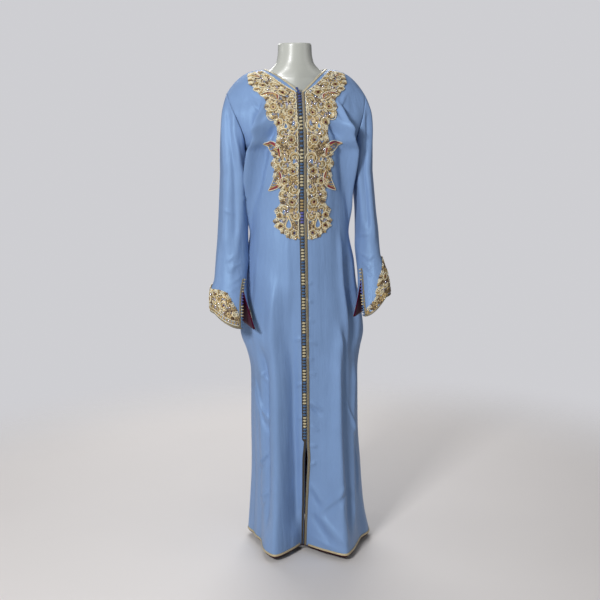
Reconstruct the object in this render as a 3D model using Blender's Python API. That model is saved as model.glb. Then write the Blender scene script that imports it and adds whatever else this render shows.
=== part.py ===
"""Moroccan kaftan worn by a headless, armless dress form on a round foot.

Metres, +Z up. The origin is the centre of the foot's underside, on the floor. The front faces -Y,
so the wearer's right is -X. Each cut and sewn piece is one named object. A cloth piece is a wall
between two layers of points: the outer layer, and the same points moved in along their normals.
Every panel takes its points from one surface, which short tables of sections and folds describe.
"""

import math
from collections import namedtuple

import bmesh
import bpy
from mathutils import Vector
from mathutils.bvhtree import BVHTree

# --- driving sizes -------------------------------------------------------------------------------
HEM = 0.020  # height of the hem above the floor
SLIT_TOP = 0.375  # the front is open below this
UNDERARM = 1.262
NECK_BACK = 1.440  # row where the back neckline starts
NECK_V = 1.420  # row where the front neckline starts
SHOULDER = 1.480  # row of the shoulder seam
CLOTH = 0.0015
LINING = 0.0010
SEAM_GAP = 0.0004  # between the edges of two pieces that are sewn together
LAYER_GAP = 0.0004  # between a piece and what lies on it
BRAID_WIDTH = 0.009
BRAID_THICK = 0.0012
STRIP = 0.012  # width of the panels' first column of faces, which carries the braid
PIPING = 0.007  # height of the piping strip along the hem
LINING_DROP = 0.005  # how far the hem's lining shows below the cloth
FRONT_GAP = 0.0006  # between the two front edges where they are buttoned
SLIT_GAP = 0.008  # the same at the widest place of the slit

COLUMNS = 9  # even columns of faces on a panel half, after the strip
SKIRT_ROWS = (HEM, HEM + PIPING, 0.085, 0.155, 0.235, 0.310, SLIT_TOP, 0.445, 0.520, 0.590, 0.650)
WAIST_ROWS = (0.700, 0.750, 0.810, 0.880, 0.950, 1.020, 1.090, 1.150, 1.205)
YOKE_ROWS = (UNDERARM, 1.290, 1.318, 1.346, 1.372, 1.398, NECK_V, NECK_BACK, 1.460, SHOULDER)
ROWS = SKIRT_ROWS + WAIST_ROWS + YOKE_ROWS
LINING_TOP = 0.445  # the row at which the skirt's lining ends

# --- the body's sections, from the hem up ----------------------------------------------------------
# sway: how far the section's centre lies towards +X. squareness: 2 is an ellipse, more is boxier.
BodyRow = namedtuple("BodyRow", "row half_width sway front back squareness")
BODY = (
    BodyRow(0.020, 0.198, 0.034, 0.165, 0.150, 3.1),
    BodyRow(0.120, 0.184, 0.029, 0.160, 0.143, 2.9),
    BodyRow(0.250, 0.175, 0.028, 0.155, 0.136, 2.7),
    BodyRow(0.400, 0.168, 0.025, 0.150, 0.130, 2.5),
    BodyRow(0.550, 0.168, 0.024, 0.146, 0.126, 2.4),
    BodyRow(0.640, 0.176, 0.020, 0.143, 0.124, 2.3),
    BodyRow(0.700, 0.187, 0.016, 0.141, 0.124, 2.2),
    BodyRow(0.760, 0.182, 0.014, 0.139, 0.122, 2.2),
    BodyRow(0.860, 0.165, 0.012, 0.135, 0.116, 2.15),
    BodyRow(0.980, 0.157, 0.009, 0.128, 0.106, 2.1),
    BodyRow(1.090, 0.151, 0.0085, 0.120, 0.096, 2.1),
    BodyRow(1.180, 0.156, 0.0100, 0.124, 0.098, 2.1),
)
# Above the underarm a row runs from the neck or centre line to the armhole, and drops towards it.
# turn: through how many degrees the row bends on its way, 90 for a quarter of an ellipse.
YokeRow = namedtuple(
    "YokeRow", "row sway inner_x inner_y inner_z outer_x outer_y outer_z squareness turn drop"
)
FRONT_YOKE = (
    YokeRow(1.262, 0.0125, 0.000, -0.128, 1.262, 0.1625, -0.004, 1.262, 2.1, 90, 1.2),
    YokeRow(1.300, 0.0115, 0.000, -0.124, 1.316, 0.1680, -0.042, 1.290, 2.0, 76, 1.2),
    YokeRow(1.340, 0.0100, 0.000, -0.114, 1.362, 0.1790, -0.056, 1.326, 2.0, 64, 1.2),
    YokeRow(1.380, 0.0080, 0.000, -0.099, 1.404, 0.1940, -0.053, 1.368, 2.0, 54, 1.2),
    YokeRow(1.420, 0.0050, 0.000, -0.084, 1.440, 0.2055, -0.036, 1.403, 2.0, 44, 1.3),
    YokeRow(1.440, 0.0040, 0.034, -0.066, 1.468, 0.2100, -0.022, 1.420, 2.0, 38, 1.4),
    YokeRow(1.460, 0.0025, 0.066, -0.037, 1.493, 0.2115, -0.009, 1.435, 2.0, 32, 1.5),
    YokeRow(1.480, 0.0020, 0.089, 0.004, 1.508, 0.2125, 0.004, 1.447, 2.0, 26, 1.5),
)
BACK_YOKE = (
    YokeRow(1.262, 0.0125, 0.000, 0.099, 1.262, 0.1625, -0.004, 1.262, 2.1, 90, 1.2),
    YokeRow(1.300, 0.0115, 0.000, 0.104, 1.316, 0.1690, 0.036, 1.290, 2.0, 76, 1.2),
    YokeRow(1.340, 0.0100, 0.000, 0.104, 1.362, 0.1800, 0.054, 1.326, 2.0, 64, 1.2),
    YokeRow(1.380, 0.0080, 0.000, 0.096, 1.408, 0.1945, 0.054, 1.368, 2.0, 54, 1.2),
    YokeRow(1.420, 0.0050, 0.000, 0.079, 1.455, 0.2060, 0.041, 1.403, 2.0, 44, 1.3),
    YokeRow(1.440, 0.0040, 0.000, 0.066, 1.480, 0.2105, 0.029, 1.420, 2.0, 38, 1.4),
    YokeRow(1.460, 0.0025, 0.054, 0.046, 1.496, 0.2120, 0.017, 1.435, 2.0, 32, 1.5),
    YokeRow(1.480, 0.0020, 0.089, 0.004, 1.508, 0.2125, 0.004, 1.447, 2.0, 26, 1.5),
)
# The line where the two fronts meet.
CentreRow = namedtuple("CentreRow", "row x gap")
CENTRE_FRONT = (
    CentreRow(0.020, 0.001, 0.0030),
    CentreRow(0.155, 0.004, 0.0030),
    CentreRow(0.235, 0.006, 0.0050),
    CentreRow(0.310, 0.008, SLIT_GAP),
    CentreRow(0.375, 0.009, FRONT_GAP),
    CentreRow(0.650, 0.010, FRONT_GAP),
    CentreRow(1.090, 0.009, FRONT_GAP),
    CentreRow(1.420, 0.008, FRONT_GAP),
    CentreRow(1.480, 0.002, FRONT_GAP),
)

# The largest folds. Angles run from the centre front, + towards +X, to 180 degrees at the centre
# back. A depth is outwards if positive. Each fold fades in below its top and out above its bottom.
Fold = namedtuple("Fold", "top bottom top_angle bottom_angle top_depth bottom_depth width")
FOLDS = (
    Fold(0.95, HEM, -44, -38, 0.004, 0.036, 13),  # right front ridge down to the hem
    Fold(0.80, HEM, 36, 24, 0.003, 0.054, 12),  # left front ridge
    Fold(0.44, HEM, -2, -3, 0.000, -0.048, 12),  # hollow at the centre front
    Fold(0.70, HEM, 60, 55, -0.003, -0.022, 13),
    Fold(0.62, HEM, -66, -64, -0.003, -0.014, 12),
    Fold(0.78, 0.12, -22, -20, -0.004, -0.008, 9),
    Fold(0.85, HEM, 108, 112, -0.003, -0.020, 12),
    Fold(0.90, HEM, 132, 138, 0.003, 0.026, 12),
    Fold(0.80, HEM, 164, 168, -0.004, -0.026, 11),
    Fold(0.92, HEM, -162, -158, 0.003, 0.024, 12),
    Fold(0.80, HEM, -134, -128, -0.003, -0.026, 12),
    Fold(0.88, HEM, -108, -104, 0.002, 0.018, 10),
    Fold(1.40, 1.02, -50, -78, -0.009, -0.005, 8),  # drag lines from the bust to the side
    Fold(1.40, 0.98, -38, -66, 0.007, 0.003, 8),
    Fold(1.40, 1.00, 52, 80, -0.009, -0.005, 8),
    Fold(1.40, 0.98, 40, 66, 0.007, 0.003, 8),
    Fold(1.38, 0.90, 150, 146, 0.005, 0.004, 12),
    Fold(1.38, 0.90, -150, -146, 0.005, 0.004, 12),
    Fold(1.20, 0.70, 122, 118, -0.005, -0.004, 11),
    Fold(1.20, 0.70, -122, -118, -0.005, -0.004, 11),
)
FOLD_FADE = 0.10

Cup = namedtuple("Cup", "angle row depth width height")
CUPS = (Cup(-38, 1.325, 0.014, 20, 0.055), Cup(38, 1.325, 0.014, 20, 0.055))


def span(rows, row):
    """The table row at or below this row, and how far on towards the next it lies, from 0 to 1."""
    i = max(k for k in range(len(rows) - 1) if rows[k].row <= max(row, rows[0].row))
    return i, min(max((row - rows[i].row) / (rows[i + 1].row - rows[i].row), 0.0), 1.0)


def straight(rows, column, row):
    """The column's value at this row, on straight lines through the table's rows."""
    i, t = span(rows, row)
    return getattr(rows[i], column) * (1 - t) + getattr(rows[i + 1], column) * t


def smooth(rows, column, row):
    """The column's value at this row, on a curve through the table's rows that never overshoots."""

    def rise(k):
        return (getattr(rows[k + 1], column) - getattr(rows[k], column)) / (rows[k + 1].row - rows[k].row)

    def slope(k):
        if k in (0, len(rows) - 1):
            return rise(min(k, len(rows) - 2))
        below, above = rise(k - 1), rise(k)
        return 0.0 if below * above <= 0 else 2 * below * above / (below + above)

    i, t = span(rows, row)
    step = rows[i + 1].row - rows[i].row
    return (
        getattr(rows[i], column) * (1 + 2 * t) * (1 - t) ** 2
        + slope(i) * step * t * (1 - t) ** 2
        + getattr(rows[i + 1], column) * t * t * (3 - 2 * t)
        - slope(i + 1) * step * t * t * (1 - t)
    )


def body_as_yoke(row, depth):
    """A body section written as a yoke row, so that one table runs from the hem to the shoulder."""
    edge = (row.half_width, -0.004, row.row)
    return YokeRow(row.row, row.sway, 0.0, depth, row.row, *edge, row.squareness, 90, 1.2)


FRONT = tuple(body_as_yoke(r, -r.front) for r in BODY) + FRONT_YOKE
BACK = tuple(body_as_yoke(r, r.back) for r in BODY) + BACK_YOKE


def ease(t):
    t = min(max(t, 0.0), 1.0)
    return t * t * (3 - 2 * t)


def fold_depth(angle, row):
    """How far the folds and the cups push the cloth out at this angle and row."""
    total = 0.0
    for f in FOLDS:
        if f.bottom - 0.001 <= row <= f.top:
            t = (f.top - row) / (f.top - f.bottom)
            centre = f.top_angle + (f.bottom_angle - f.top_angle) * t
            away = (angle - centre + 180) % 360 - 180
            depth = f.top_depth + (f.bottom_depth - f.top_depth) * t**1.4
            fade = ease((f.top - row) / FOLD_FADE)
            if f.bottom > HEM:
                fade *= ease((row - f.bottom) / FOLD_FADE)
            total += depth * fade * math.exp(-((away / f.width) ** 2))
    for c in CUPS:
        total += c.depth * math.exp(-(((angle - c.angle) / c.width) ** 2) - ((row - c.row) / c.height) ** 2)
    return total


def bend(angle, squareness):
    """The point at this angle from the front of a unit superellipse: (across, ahead)."""
    across, ahead = abs(math.sin(angle)), abs(math.cos(angle))
    reach = (across**squareness + ahead**squareness) ** (-1 / squareness)
    return across * reach, ahead * reach


def surface(part, side, u, row):
    """The cloth's outer surface: u runs from the centre or neck line (0) to the side or armhole (1)."""
    table = FRONT if part == "front" else BACK
    v = {c: smooth(table, c, row) for c in YokeRow._fields[1:]}
    centre = smooth(CENTRE_FRONT, "x", row) if part == "front" else v["sway"]
    inner_x = centre + side * straight(table, "inner_x", row)
    outer_x = v["sway"] + side * v["outer_x"]
    across, ahead = bend(u * math.radians(v["turn"]), v["squareness"])
    last_across, last_ahead = bend(math.radians(v["turn"]), v["squareness"])
    across, ahead = across / last_across, (ahead - last_ahead) / (1 - last_ahead)
    angle = side * (u * 90 if part == "front" else 180 - u * 90)
    out = fold_depth(angle, row) * ease((SHOULDER - row) / 0.05)
    return Vector((
        inner_x + (outer_x - inner_x) * across + out * math.sin(math.radians(angle)),
        v["outer_y"] + (v["inner_y"] - v["outer_y"]) * ahead - out * math.cos(math.radians(angle)),
        v["inner_z"] + (v["outer_z"] - v["inner_z"]) * across ** v["drop"],
    ))


def slopes(part, side, u, row, step=0.002):
    """How the surface runs along u and along the rows."""
    low_u, high_u = max(u - step, 0.0), min(u + step, 1.0)
    low_r, high_r = max(row - step, HEM), min(row + step, SHOULDER)
    along_u = (surface(part, side, high_u, row) - surface(part, side, low_u, row)) / (high_u - low_u)
    along_r = (surface(part, side, u, high_r) - surface(part, side, u, low_r)) / (high_r - low_r)
    return along_u, along_r


def normal(part, side, u, row):
    along_u, along_r = slopes(part, side, u, row)
    n = along_u.cross(along_r) * side * (1 if part == "front" else -1)
    return n.normalized()


def seam_normal(part, side, u, row):
    """The normal, shared with the panel across the seam where there is one."""
    n = normal(part, side, u, row)
    if (u > 0.999 and row <= UNDERARM) or row >= SHOULDER:
        n = (n + normal("back" if part == "front" else "front", side, u, row)).normalized()
    elif u < 0.001 and row < (NECK_V if part == "front" else NECK_BACK):
        n.x = 0.0 if part == "front" else n.x
        n.normalize()
    return n


def strip_share(part, side, row):
    """The u at which the strip along the centre or neck line ends."""
    return STRIP / slopes(part, side, 0.01, row)[0].length


def panel_half(part, side):
    """{(column, row number): (point, normal)} for one half of the front or back."""
    points = {}
    for j, row in enumerate(ROWS):
        first = strip_share(part, side, row)
        shares = [0.0] + [first + (1 - first) * k / COLUMNS for k in range(COLUMNS + 1)]
        for i, u in enumerate(shares):
            n = seam_normal(part, side, u, row)
            along_u, along_r = slopes(part, side, u, row)
            p = surface(part, side, u, row)
            if i == len(shares) - 1:
                p -= along_u.normalized() * SEAM_GAP / 2
            if j == len(ROWS) - 1:
                p -= along_r.normalized() * SEAM_GAP / 2
            if i == 0 and part == "front":
                p.x += side * smooth(CENTRE_FRONT, "gap", row) / 2
            points[i, j] = (p, n)
    return points


# --- sleeves ---------------------------------------------------------------------------------------
# Rings from the hem up to the cap. along and across are half sizes, and along points at the slit,
# which turns from the body (0 degrees) towards the front (90). tilt: how much lower the ring is at
# the slit than at its centre. gape: how far the slit's back edge stands off its front edge.
SleeveRow = namedtuple("SleeveRow", "row x y along across turn tilt gape_x gape_y")
RIGHT, LEFT = -1, 1  # the wearer's right is -X
SLEEVES = {
    RIGHT: (
        SleeveRow(0.765, -0.220, -0.083, 0.067, 0.053, 58, 0.030, 0.036, 0.014),
        SleeveRow(0.815, -0.221, -0.069, 0.061, 0.050, 50, 0.014, 0.018, 0.007),
        SleeveRow(0.870, -0.2125, -0.050, 0.050, 0.048, 38, 0.004, 0.000, 0.000),
        SleeveRow(0.930, -0.205, -0.028, 0.050, 0.056, 22, 0.000, 0.000, 0.000),
        SleeveRow(1.000, -0.200, -0.015, 0.048, 0.060, 10, 0.000, 0.000, 0.000),
        SleeveRow(1.090, -0.1965, -0.006, 0.0450, 0.062, 4, 0.000, 0.000, 0.000),
        SleeveRow(1.200, -0.1925, -0.002, 0.0425, 0.062, 0, 0.000, 0.000, 0.000),
    ),
    LEFT: (
        SleeveRow(0.816, 0.234, -0.092, 0.052, 0.045, 38, 0.058, -0.036, 0.008),
        SleeveRow(0.857, 0.231, -0.076, 0.047, 0.043, 32, 0.038, -0.014, 0.003),
        SleeveRow(0.905, 0.226, -0.053, 0.038, 0.046, 26, 0.014, 0.000, 0.000),
        SleeveRow(0.945, 0.222, -0.032, 0.034, 0.055, 15, 0.003, 0.000, 0.000),
        SleeveRow(1.000, 0.2215, -0.016, 0.034, 0.061, 8, 0.000, 0.000, 0.000),
        SleeveRow(1.090, 0.2170, -0.006, 0.0315, 0.064, 2, 0.000, 0.000, 0.000),
        SleeveRow(1.200, 0.2065, -0.002, 0.0335, 0.062, 0, 0.000, 0.000, 0.000),
    ),
}
CAP_ROW = 1.200  # the level ring under the cap
SLEEVE_RINGS = (0.0, 0.02, 0.06, 0.11, 0.17, 0.25, 0.27, 0.34, 0.43, 0.53, 0.64, 0.76, 0.88, 1.0)
SLIT_RING = 5  # the slit is open below this ring
LINING_RING = 7
CAP_STEPS = 4
CAP_REACH = 0.40  # length of the cap's handles, as a share of its height
HALF_LOOP = len(YOKE_ROWS) - 1  # steps along the armhole from the underarm to the shoulder
STRIP_STEP = 0.45  # width of the sleeve's first and last columns, in steps
SLEEVE_COLUMNS = (
    (0, STRIP_STEP) + tuple(range(1, 2 * HALF_LOOP)) + (2 * HALF_LOOP - STRIP_STEP, 2 * HALF_LOOP)
)
UNDERARM_EASE = 0.0030  # how far the sleeve stands off the body at the underarm
GAPE_START = 0.66  # the share of the way round at which the slit's back edge starts to stand off


def armhole(side, step):
    """A place on the armhole, from the underarm (0) up the front and down the back: (part, row)."""
    if step <= HALF_LOOP:
        return "front", YOKE_ROWS[step]
    return "back", YOKE_ROWS[2 * HALF_LOOP - step]


def armhole_point(side, step):
    """Where the sleeve starts: the armhole's point moved across the seam, and the panel's normal."""
    part, row = armhole(side, step)
    away = slopes(part, side, 1.0, row)[0].normalized()
    low = 0.5 + 0.5 * math.cos(math.pi * step / HALF_LOOP)
    ease_out = Vector((side * UNDERARM_EASE * low**2, 0, 0))
    gap = SEAM_GAP / 2 * (1 - low**8)
    return surface(part, side, 1.0, row) + away * gap + ease_out, seam_normal(part, side, 1.0, row)


def sleeve_ring(side, row, around):
    """The sleeve's point at this ring, around from 0 at the slit's front edge to 1 at its back edge."""
    v = {c: smooth(SLEEVES[side], c, row) for c in SleeveRow._fields[1:]}
    turn, angle = math.radians(v["turn"]), around * 2 * math.pi
    to_slit = Vector((-side * math.cos(turn), -math.sin(turn), 0))
    to_front = Vector((side * math.sin(turn), -math.cos(turn), 0))
    gape = max((around - GAPE_START) / (1 - GAPE_START), 0.0) ** 1.5
    return (
        Vector((v["x"] + gape * v["gape_x"], v["y"] + gape * v["gape_y"], row - v["tilt"] * math.cos(angle)))
        + to_slit * v["along"] * math.cos(angle)
        + to_front * v["across"] * math.sin(angle)
    )


def sleeve_points(side):
    """{(column, ring): (point, normal)} from the hem (ring 0) up to the armhole."""
    hem = SLEEVES[side][0].row
    place = {}
    start = {}
    for i, step in enumerate(SLEEVE_COLUMNS):
        around = step / (2 * HALF_LOOP)
        for k, share in enumerate(SLEEVE_RINGS):
            place[i, k] = sleeve_ring(side, hem + (CAP_ROW - hem) * share, around)
        low, t = int(step), step - int(step)
        start[i] = armhole_point(side, low)
        if t:
            start[i] = blend(start[i], armhole_point(side, low + 1), t)
        first, last = start[i][0], place[i, len(SLEEVE_RINGS) - 1]
        reach = (first - last).length * CAP_REACH
        angle = around * 2 * math.pi
        outwards = 0.22 + 0.3 * abs(math.sin(angle))
        leave = Vector((side * outwards, -0.4 * math.sin(angle), -0.85)).normalized()
        for k in range(1, CAP_STEPS + 1):
            t = 1 - k / CAP_STEPS
            place[i, len(SLEEVE_RINGS) - 1 + k] = (
                first * (1 - t) ** 3
                + (first + leave * reach) * 3 * t * (1 - t) ** 2
                + (last + Vector((0, 0, reach))) * 3 * t * t * (1 - t)
                + last * t**3
            )
    columns, rings = len(SLEEVE_COLUMNS), len(SLEEVE_RINGS) + CAP_STEPS
    points = {}
    for (i, k), p in place.items():
        before, after = max(i - 1, 0), min(i + 1, columns - 1)
        if k >= SLIT_RING and i in (0, columns - 1):
            before, after = columns - 2, 1
        along_i = place[after, k] - place[before, k]
        along_k = place[i, min(k + 1, rings - 1)] - place[i, max(k - 1, 0)]
        n = (along_i.cross(along_k) * side).normalized()
        if k == rings - 1:
            low = 0.5 + 0.5 * math.cos(math.pi * SLEEVE_COLUMNS[i] / HALF_LOOP)
            n = (n * low + start[i][1] * (1 - low)).normalized()
        points[i, k] = (p, n)
    return points


def sleeve_cells(first_ring, last_ring, columns=None):
    """The cells between these rings. Above the slit the last column joins the first."""
    last = len(SLEEVE_COLUMNS) - 1
    cells = []
    for k in range(first_ring, last_ring):
        for i in columns or range(last):
            corners = [(i, k), (i + 1, k), (i + 1, k + 1), (i, k + 1)]
            cells.append([(0, b) if a == last and b >= SLIT_RING else (a, b) for a, b in corners])
    return cells


# --- building walls ----------------------------------------------------------------------------------
Finish = namedtuple("Finish", "colour roughness metallic")
FINISHES = {
    "satin_light_blue": Finish((0.31, 0.44, 0.66), 0.42, 0.0),
    "lining_maroon": Finish((0.07, 0.004, 0.03), 0.6, 0.0),
    "braid_gold": Finish((0.47, 0.36, 0.20), 0.5, 0.3),
    "piping_gold": Finish((0.66, 0.55, 0.33), 0.5, 0.3),
    "knots_cream": Finish((0.70, 0.62, 0.44), 0.6, 0.0),
    "knots_blue": Finish((0.07, 0.14, 0.34), 0.6, 0.0),
    "embroidery_gold": Finish((0.58, 0.45, 0.22), 0.45, 0.4),
    "form_white": Finish((0.86, 0.87, 0.85), 0.2, 0.0),
    "stand_steel": Finish((0.60, 0.60, 0.60), 0.3, 1.0),
}


def material(name):
    if name in bpy.data.materials:
        return bpy.data.materials[name]
    made = bpy.data.materials.new(name)
    made.use_nodes = True
    shader = made.node_tree.nodes["Principled BSDF"]
    finish = FINISHES[name]
    shader.inputs["Base Color"].default_value = (*finish.colour, 1)
    shader.inputs["Roughness"].default_value = finish.roughness
    shader.inputs["Metallic"].default_value = finish.metallic
    made.diffuse_color = (*finish.colour, 1)
    return made


def add_object(name, shape, finish, sharp=40):
    """The bmesh as a named object of its own, shaded smooth except at its sharp edges."""
    mesh = bpy.data.meshes.new(name)
    shape.to_mesh(mesh)
    shape.free()
    mesh.materials.append(material(finish))
    mesh.shade_smooth()
    mesh.set_sharp_from_angle(angle=math.radians(sharp))
    made = bpy.data.objects.new(name, mesh)
    bpy.context.collection.objects.link(made)
    return made


def wall(name, points, cells, low, high, finish):
    """A closed wall over these cells, between two offsets along the normals.

    An offset is a number, or a function of the point's key. Each cell is split along the same
    diagonal in every piece that uses it, so that the layers on a panel stay parallel to it.
    """
    keys = list(dict.fromkeys(key for cell in cells for key in cell))
    shape = bmesh.new()

    def layer(offset):
        height = offset if callable(offset) else lambda key: offset
        return {k: shape.verts.new(points[k][0] + points[k][1] * height(k)) for k in keys}

    inner, outer = layer(low), layer(high)
    used = set()
    for a, b, c, d in cells:
        faces = ((a, b, c), (a, c, d))
        pa, pb, pc, pd = (points[k][0] for k in (a, b, c, d))
        if (pc - pa).cross(pd - pb).dot(points[a][1] + points[c][1]) < 0:
            faces = ((c, b, a), (d, c, a))
        for face in faces:
            shape.faces.new([outer[k] for k in face])
            shape.faces.new([inner[k] for k in reversed(face)])
            used.update(zip(face, face[1:] + face[:1]))
    for a, b in sorted(used):
        if (b, a) not in used:
            shape.faces.new((outer[b], outer[a], inner[a], inner[b]))
    return add_object(name, shape, finish)


def facets(points, cells):
    """The outer faces of these cells, to set points on."""
    order = {key: k for k, key in enumerate(points)}
    faces = [[order[k] for k in face] for a, b, c, d in cells for face in ((a, b, c), (a, c, d))]
    return BVHTree.FromPolygons([place for place, _ in points.values()], faces)


def blend(a, b, share):
    """A place, as (point, normal), on the straight line between two places."""
    return a[0].lerp(b[0], share), a[1].lerp(b[1], share).normalized()


def between(points, a, b, share):
    return blend(points[a], points[b], share)


def half_cells(columns, rows):
    return [[(i, j), (i + 1, j), (i + 1, j + 1), (i, j + 1)] for j in rows for i in columns]


SIDE_NAME = {RIGHT: "right", LEFT: "left"}
PANEL_COLUMNS = COLUMNS + 1
PIPING_THICK = 0.0014
RIM_STEPS = 4  # sections of the back neck's braid for each row of the panel
RIM_EDGE = 0.0004
NECK_BRAID_EASE = 0.0019  # the back neck's braid is straighter than the panel under it
ON_CLOTH = LAYER_GAP
ON_BRAID = 2 * LAYER_GAP + BRAID_THICK
UNDER_CLOTH = -CLOTH - 3 * LAYER_GAP  # the lining hangs 5 mm lower, so it isn't quite parallel


def build_fronts():
    fronts = {side: panel_half("front", side) for side in (RIGHT, LEFT)}
    for side, points in fronts.items():
        cells = half_cells(range(PANEL_COLUMNS), range(len(ROWS) - 1))
        wall("front_" + SIDE_NAME[side], points, cells, -CLOTH, 0.0, "satin_light_blue")
    return fronts


def back_key(side, i, j):
    """The back's halves share their centre column up to the neckline."""
    if i == 0:
        return (0, j) if ROWS[j] <= NECK_BACK else (side * 0.5, j)
    return side * i, j


def build_back():
    points, cells = {}, []
    for side in (RIGHT, LEFT):
        for (i, j), place in panel_half("back", side).items():
            points[back_key(side, i, j)] = place
        for cell in half_cells(range(PANEL_COLUMNS), range(len(ROWS) - 1)):
            cells.append([back_key(side, i, j) for i, j in cell])
    wall("back", points, cells, -CLOTH, 0.0, "satin_light_blue")
    return points


def build_skirt_lining(fronts, back):
    """The lining shows in the open slit and just below the hem."""
    rows = range(ROWS.index(LINING_TOP))

    def dropped(points):
        moved = dict(points)
        for key, (p, n) in points.items():
            if key[1] == 0:
                moved[key] = (p - Vector((0, 0, LINING_DROP)), n)
        return moved

    high, low = UNDER_CLOTH, UNDER_CLOTH - LINING
    for side, points in fronts.items():
        cells = half_cells(range(PANEL_COLUMNS), rows)
        wall("lining_skirt_front_" + SIDE_NAME[side], dropped(points), cells, low, high, "lining_maroon")
    cells = [
        [back_key(side, i, j) for i, j in cell]
        for side in (RIGHT, LEFT)
        for cell in half_cells(range(PANEL_COLUMNS), rows)
    ]
    wall("lining_skirt_back", dropped(back), cells, low, high, "lining_maroon")


def build_front_braids(fronts):
    """A braid along each front edge, from the hem up to and along the neck."""
    edge, width = 0.03, BRAID_WIDTH / STRIP
    for side, points in fronts.items():
        strip = {}
        for j in range(len(ROWS)):
            strip[0, j] = between(points, (0, j), (1, j), edge)
            strip[1, j] = between(points, (0, j), (1, j), width)
        cells = half_cells((0,), range(len(ROWS) - 1))
        name = "braid_front_" + SIDE_NAME[side]
        wall(name, strip, cells, ON_CLOTH, ON_CLOTH + BRAID_THICK, "braid_gold")


def build_neck_braid(back):
    """The back neck's braid, from one shoulder seam to the other."""
    top, low = len(ROWS) - 1, ROWS.index(NECK_BACK)
    keys = [(-0.5, j) for j in range(top, low, -1)] + [(0, low)] + [(0.5, j) for j in range(low + 1, top + 1)]
    rim = [between(back, a, b, k / RIM_STEPS) for a, b in zip(keys, keys[1:]) for k in range(RIM_STEPS)]
    rim.append(back[keys[-1]])
    cells = [
        [back_key(side, i, j) for i, j in cell]
        for side in (RIGHT, LEFT)
        for cell in half_cells(range(PANEL_COLUMNS), range(low - 2, top))
    ]
    cloth = facets(back, cells)
    strip = {}
    for j, (place, n) in enumerate(rim):
        if j in (0, len(rim) - 1):
            side = RIGHT if j == 0 else LEFT
            inside = (back[side, top][0] - place).normalized()
        else:
            inside = (rim[j + 1][0] - rim[j - 1][0]).cross(n).normalized()
            inside = inside if inside.z < 0 else -inside
        strip[0, j] = (cloth.find_nearest(place + inside * RIM_EDGE)[0], n)
        strip[1, j] = (cloth.find_nearest(place + inside * BRAID_WIDTH)[0], n)
    lift = ON_CLOTH + NECK_BRAID_EASE
    cells = half_cells((0,), range(len(rim) - 1))
    wall("braid_neck_back", strip, cells, lift, lift + BRAID_THICK, "braid_gold")


def build_piping(fronts, back):
    high = ON_CLOTH + PIPING_THICK
    for side, points in fronts.items():
        cells = half_cells(range(1, PANEL_COLUMNS), (0,))
        wall("piping_hem_" + SIDE_NAME[side], points, cells, ON_CLOTH, high, "piping_gold")
    cells = [
        [back_key(side, i, j) for i, j in cell]
        for side in (RIGHT, LEFT)
        for cell in half_cells(range(PANEL_COLUMNS), (0,))
    ]
    wall("piping_hem_back", back, cells, ON_CLOTH, high, "piping_gold")


def build_sleeves():
    sleeves = {side: sleeve_points(side) for side in (RIGHT, LEFT)}
    last = len(SLEEVE_COLUMNS) - 2
    for side, points in sleeves.items():
        name = SIDE_NAME[side]
        cells = sleeve_cells(0, len(SLEEVE_RINGS) - 1 + CAP_STEPS)
        wall("sleeve_" + name, points, cells, -CLOTH, 0.0, "satin_light_blue")
        cells = sleeve_cells(0, LINING_RING)
        wall("lining_sleeve_" + name, points, cells, UNDER_CLOTH - LINING, UNDER_CLOTH, "lining_maroon")
        cells = sleeve_cells(0, 1) + sleeve_cells(1, SLIT_RING + 1, (0, last))
        wall("braid_cuff_" + name, points, cells, ON_CLOTH, ON_CLOTH + BRAID_THICK, "braid_gold")
    return sleeves


# --- knotted buttons -----------------------------------------------------------------------------------
BUTTON_PITCH = 0.0093
GROUP_SIZE = 4
GROUPS = 28
KNOT_HEIGHT = 0.0034
CORD_HEIGHT = 0.0014
KNOT_TAPER = 0.2  # how much narrower a knot is on top, each side
KNOT_EDGES = (0.04, 0.96)  # the knots' sides, as shares of the strip they lie on
GROUP_GAP = 0.0005
FIRST_BUTTON = SLIT_TOP + 0.004
CUFF_CORD_END = 0.02  # the share of a cuff's slit left bare at each end


def at_row(points, i, row):
    """The panel's point on column i at this row."""
    j = max(k for k in range(len(ROWS) - 1) if ROWS[k] <= row)
    return between(points, (i, j), (i, j + 1), (row - ROWS[j]) / (ROWS[j + 1] - ROWS[j]))


def knotted_cord(name, sections, lift, finish):
    """A cord with a knot at every second section. A section is its two edges, each (point, normal)."""
    shape = bmesh.new()
    rings = []
    for k, (near, far) in enumerate(sections):
        height = KNOT_HEIGHT if k % 2 else CORD_HEIGHT
        ring = []
        for share, up in ((0.0, 0.0), (KNOT_TAPER, height), (1 - KNOT_TAPER, height), (1.0, 0.0)):
            place, n = blend(near, far, share)
            ring.append(shape.verts.new(place + n * (lift + up)))
        rings.append(ring)
    for low, high in zip(rings, rings[1:]):
        for i in range(4):
            shape.faces.new((low[i], low[(i + 1) % 4], high[(i + 1) % 4], high[i]))
    shape.faces.new(rings[0][::-1])
    shape.faces.new(rings[-1])
    bmesh.ops.recalc_face_normals(shape, faces=shape.faces)
    return add_object(name, shape, finish, sharp=60)


def build_front_buttons(fronts):
    """The right front's edge carries the knots, in groups of cream and blue."""
    points = fronts[RIGHT]
    for group in range(GROUPS):
        low = FIRST_BUTTON + group * GROUP_SIZE * BUTTON_PITCH
        height = GROUP_SIZE * BUTTON_PITCH - GROUP_GAP
        sections = []
        for k in range(2 * GROUP_SIZE + 1):
            row = low + height * k / (2 * GROUP_SIZE)
            edge, inside = at_row(points, 0, row), at_row(points, 1, row)
            sections.append([blend(edge, inside, share) for share in KNOT_EDGES])
        finish = "knots_cream" if group % 2 else "knots_blue"
        knotted_cord(f"buttons_front_{group + 1:02d}", sections, ON_BRAID, finish)


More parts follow.
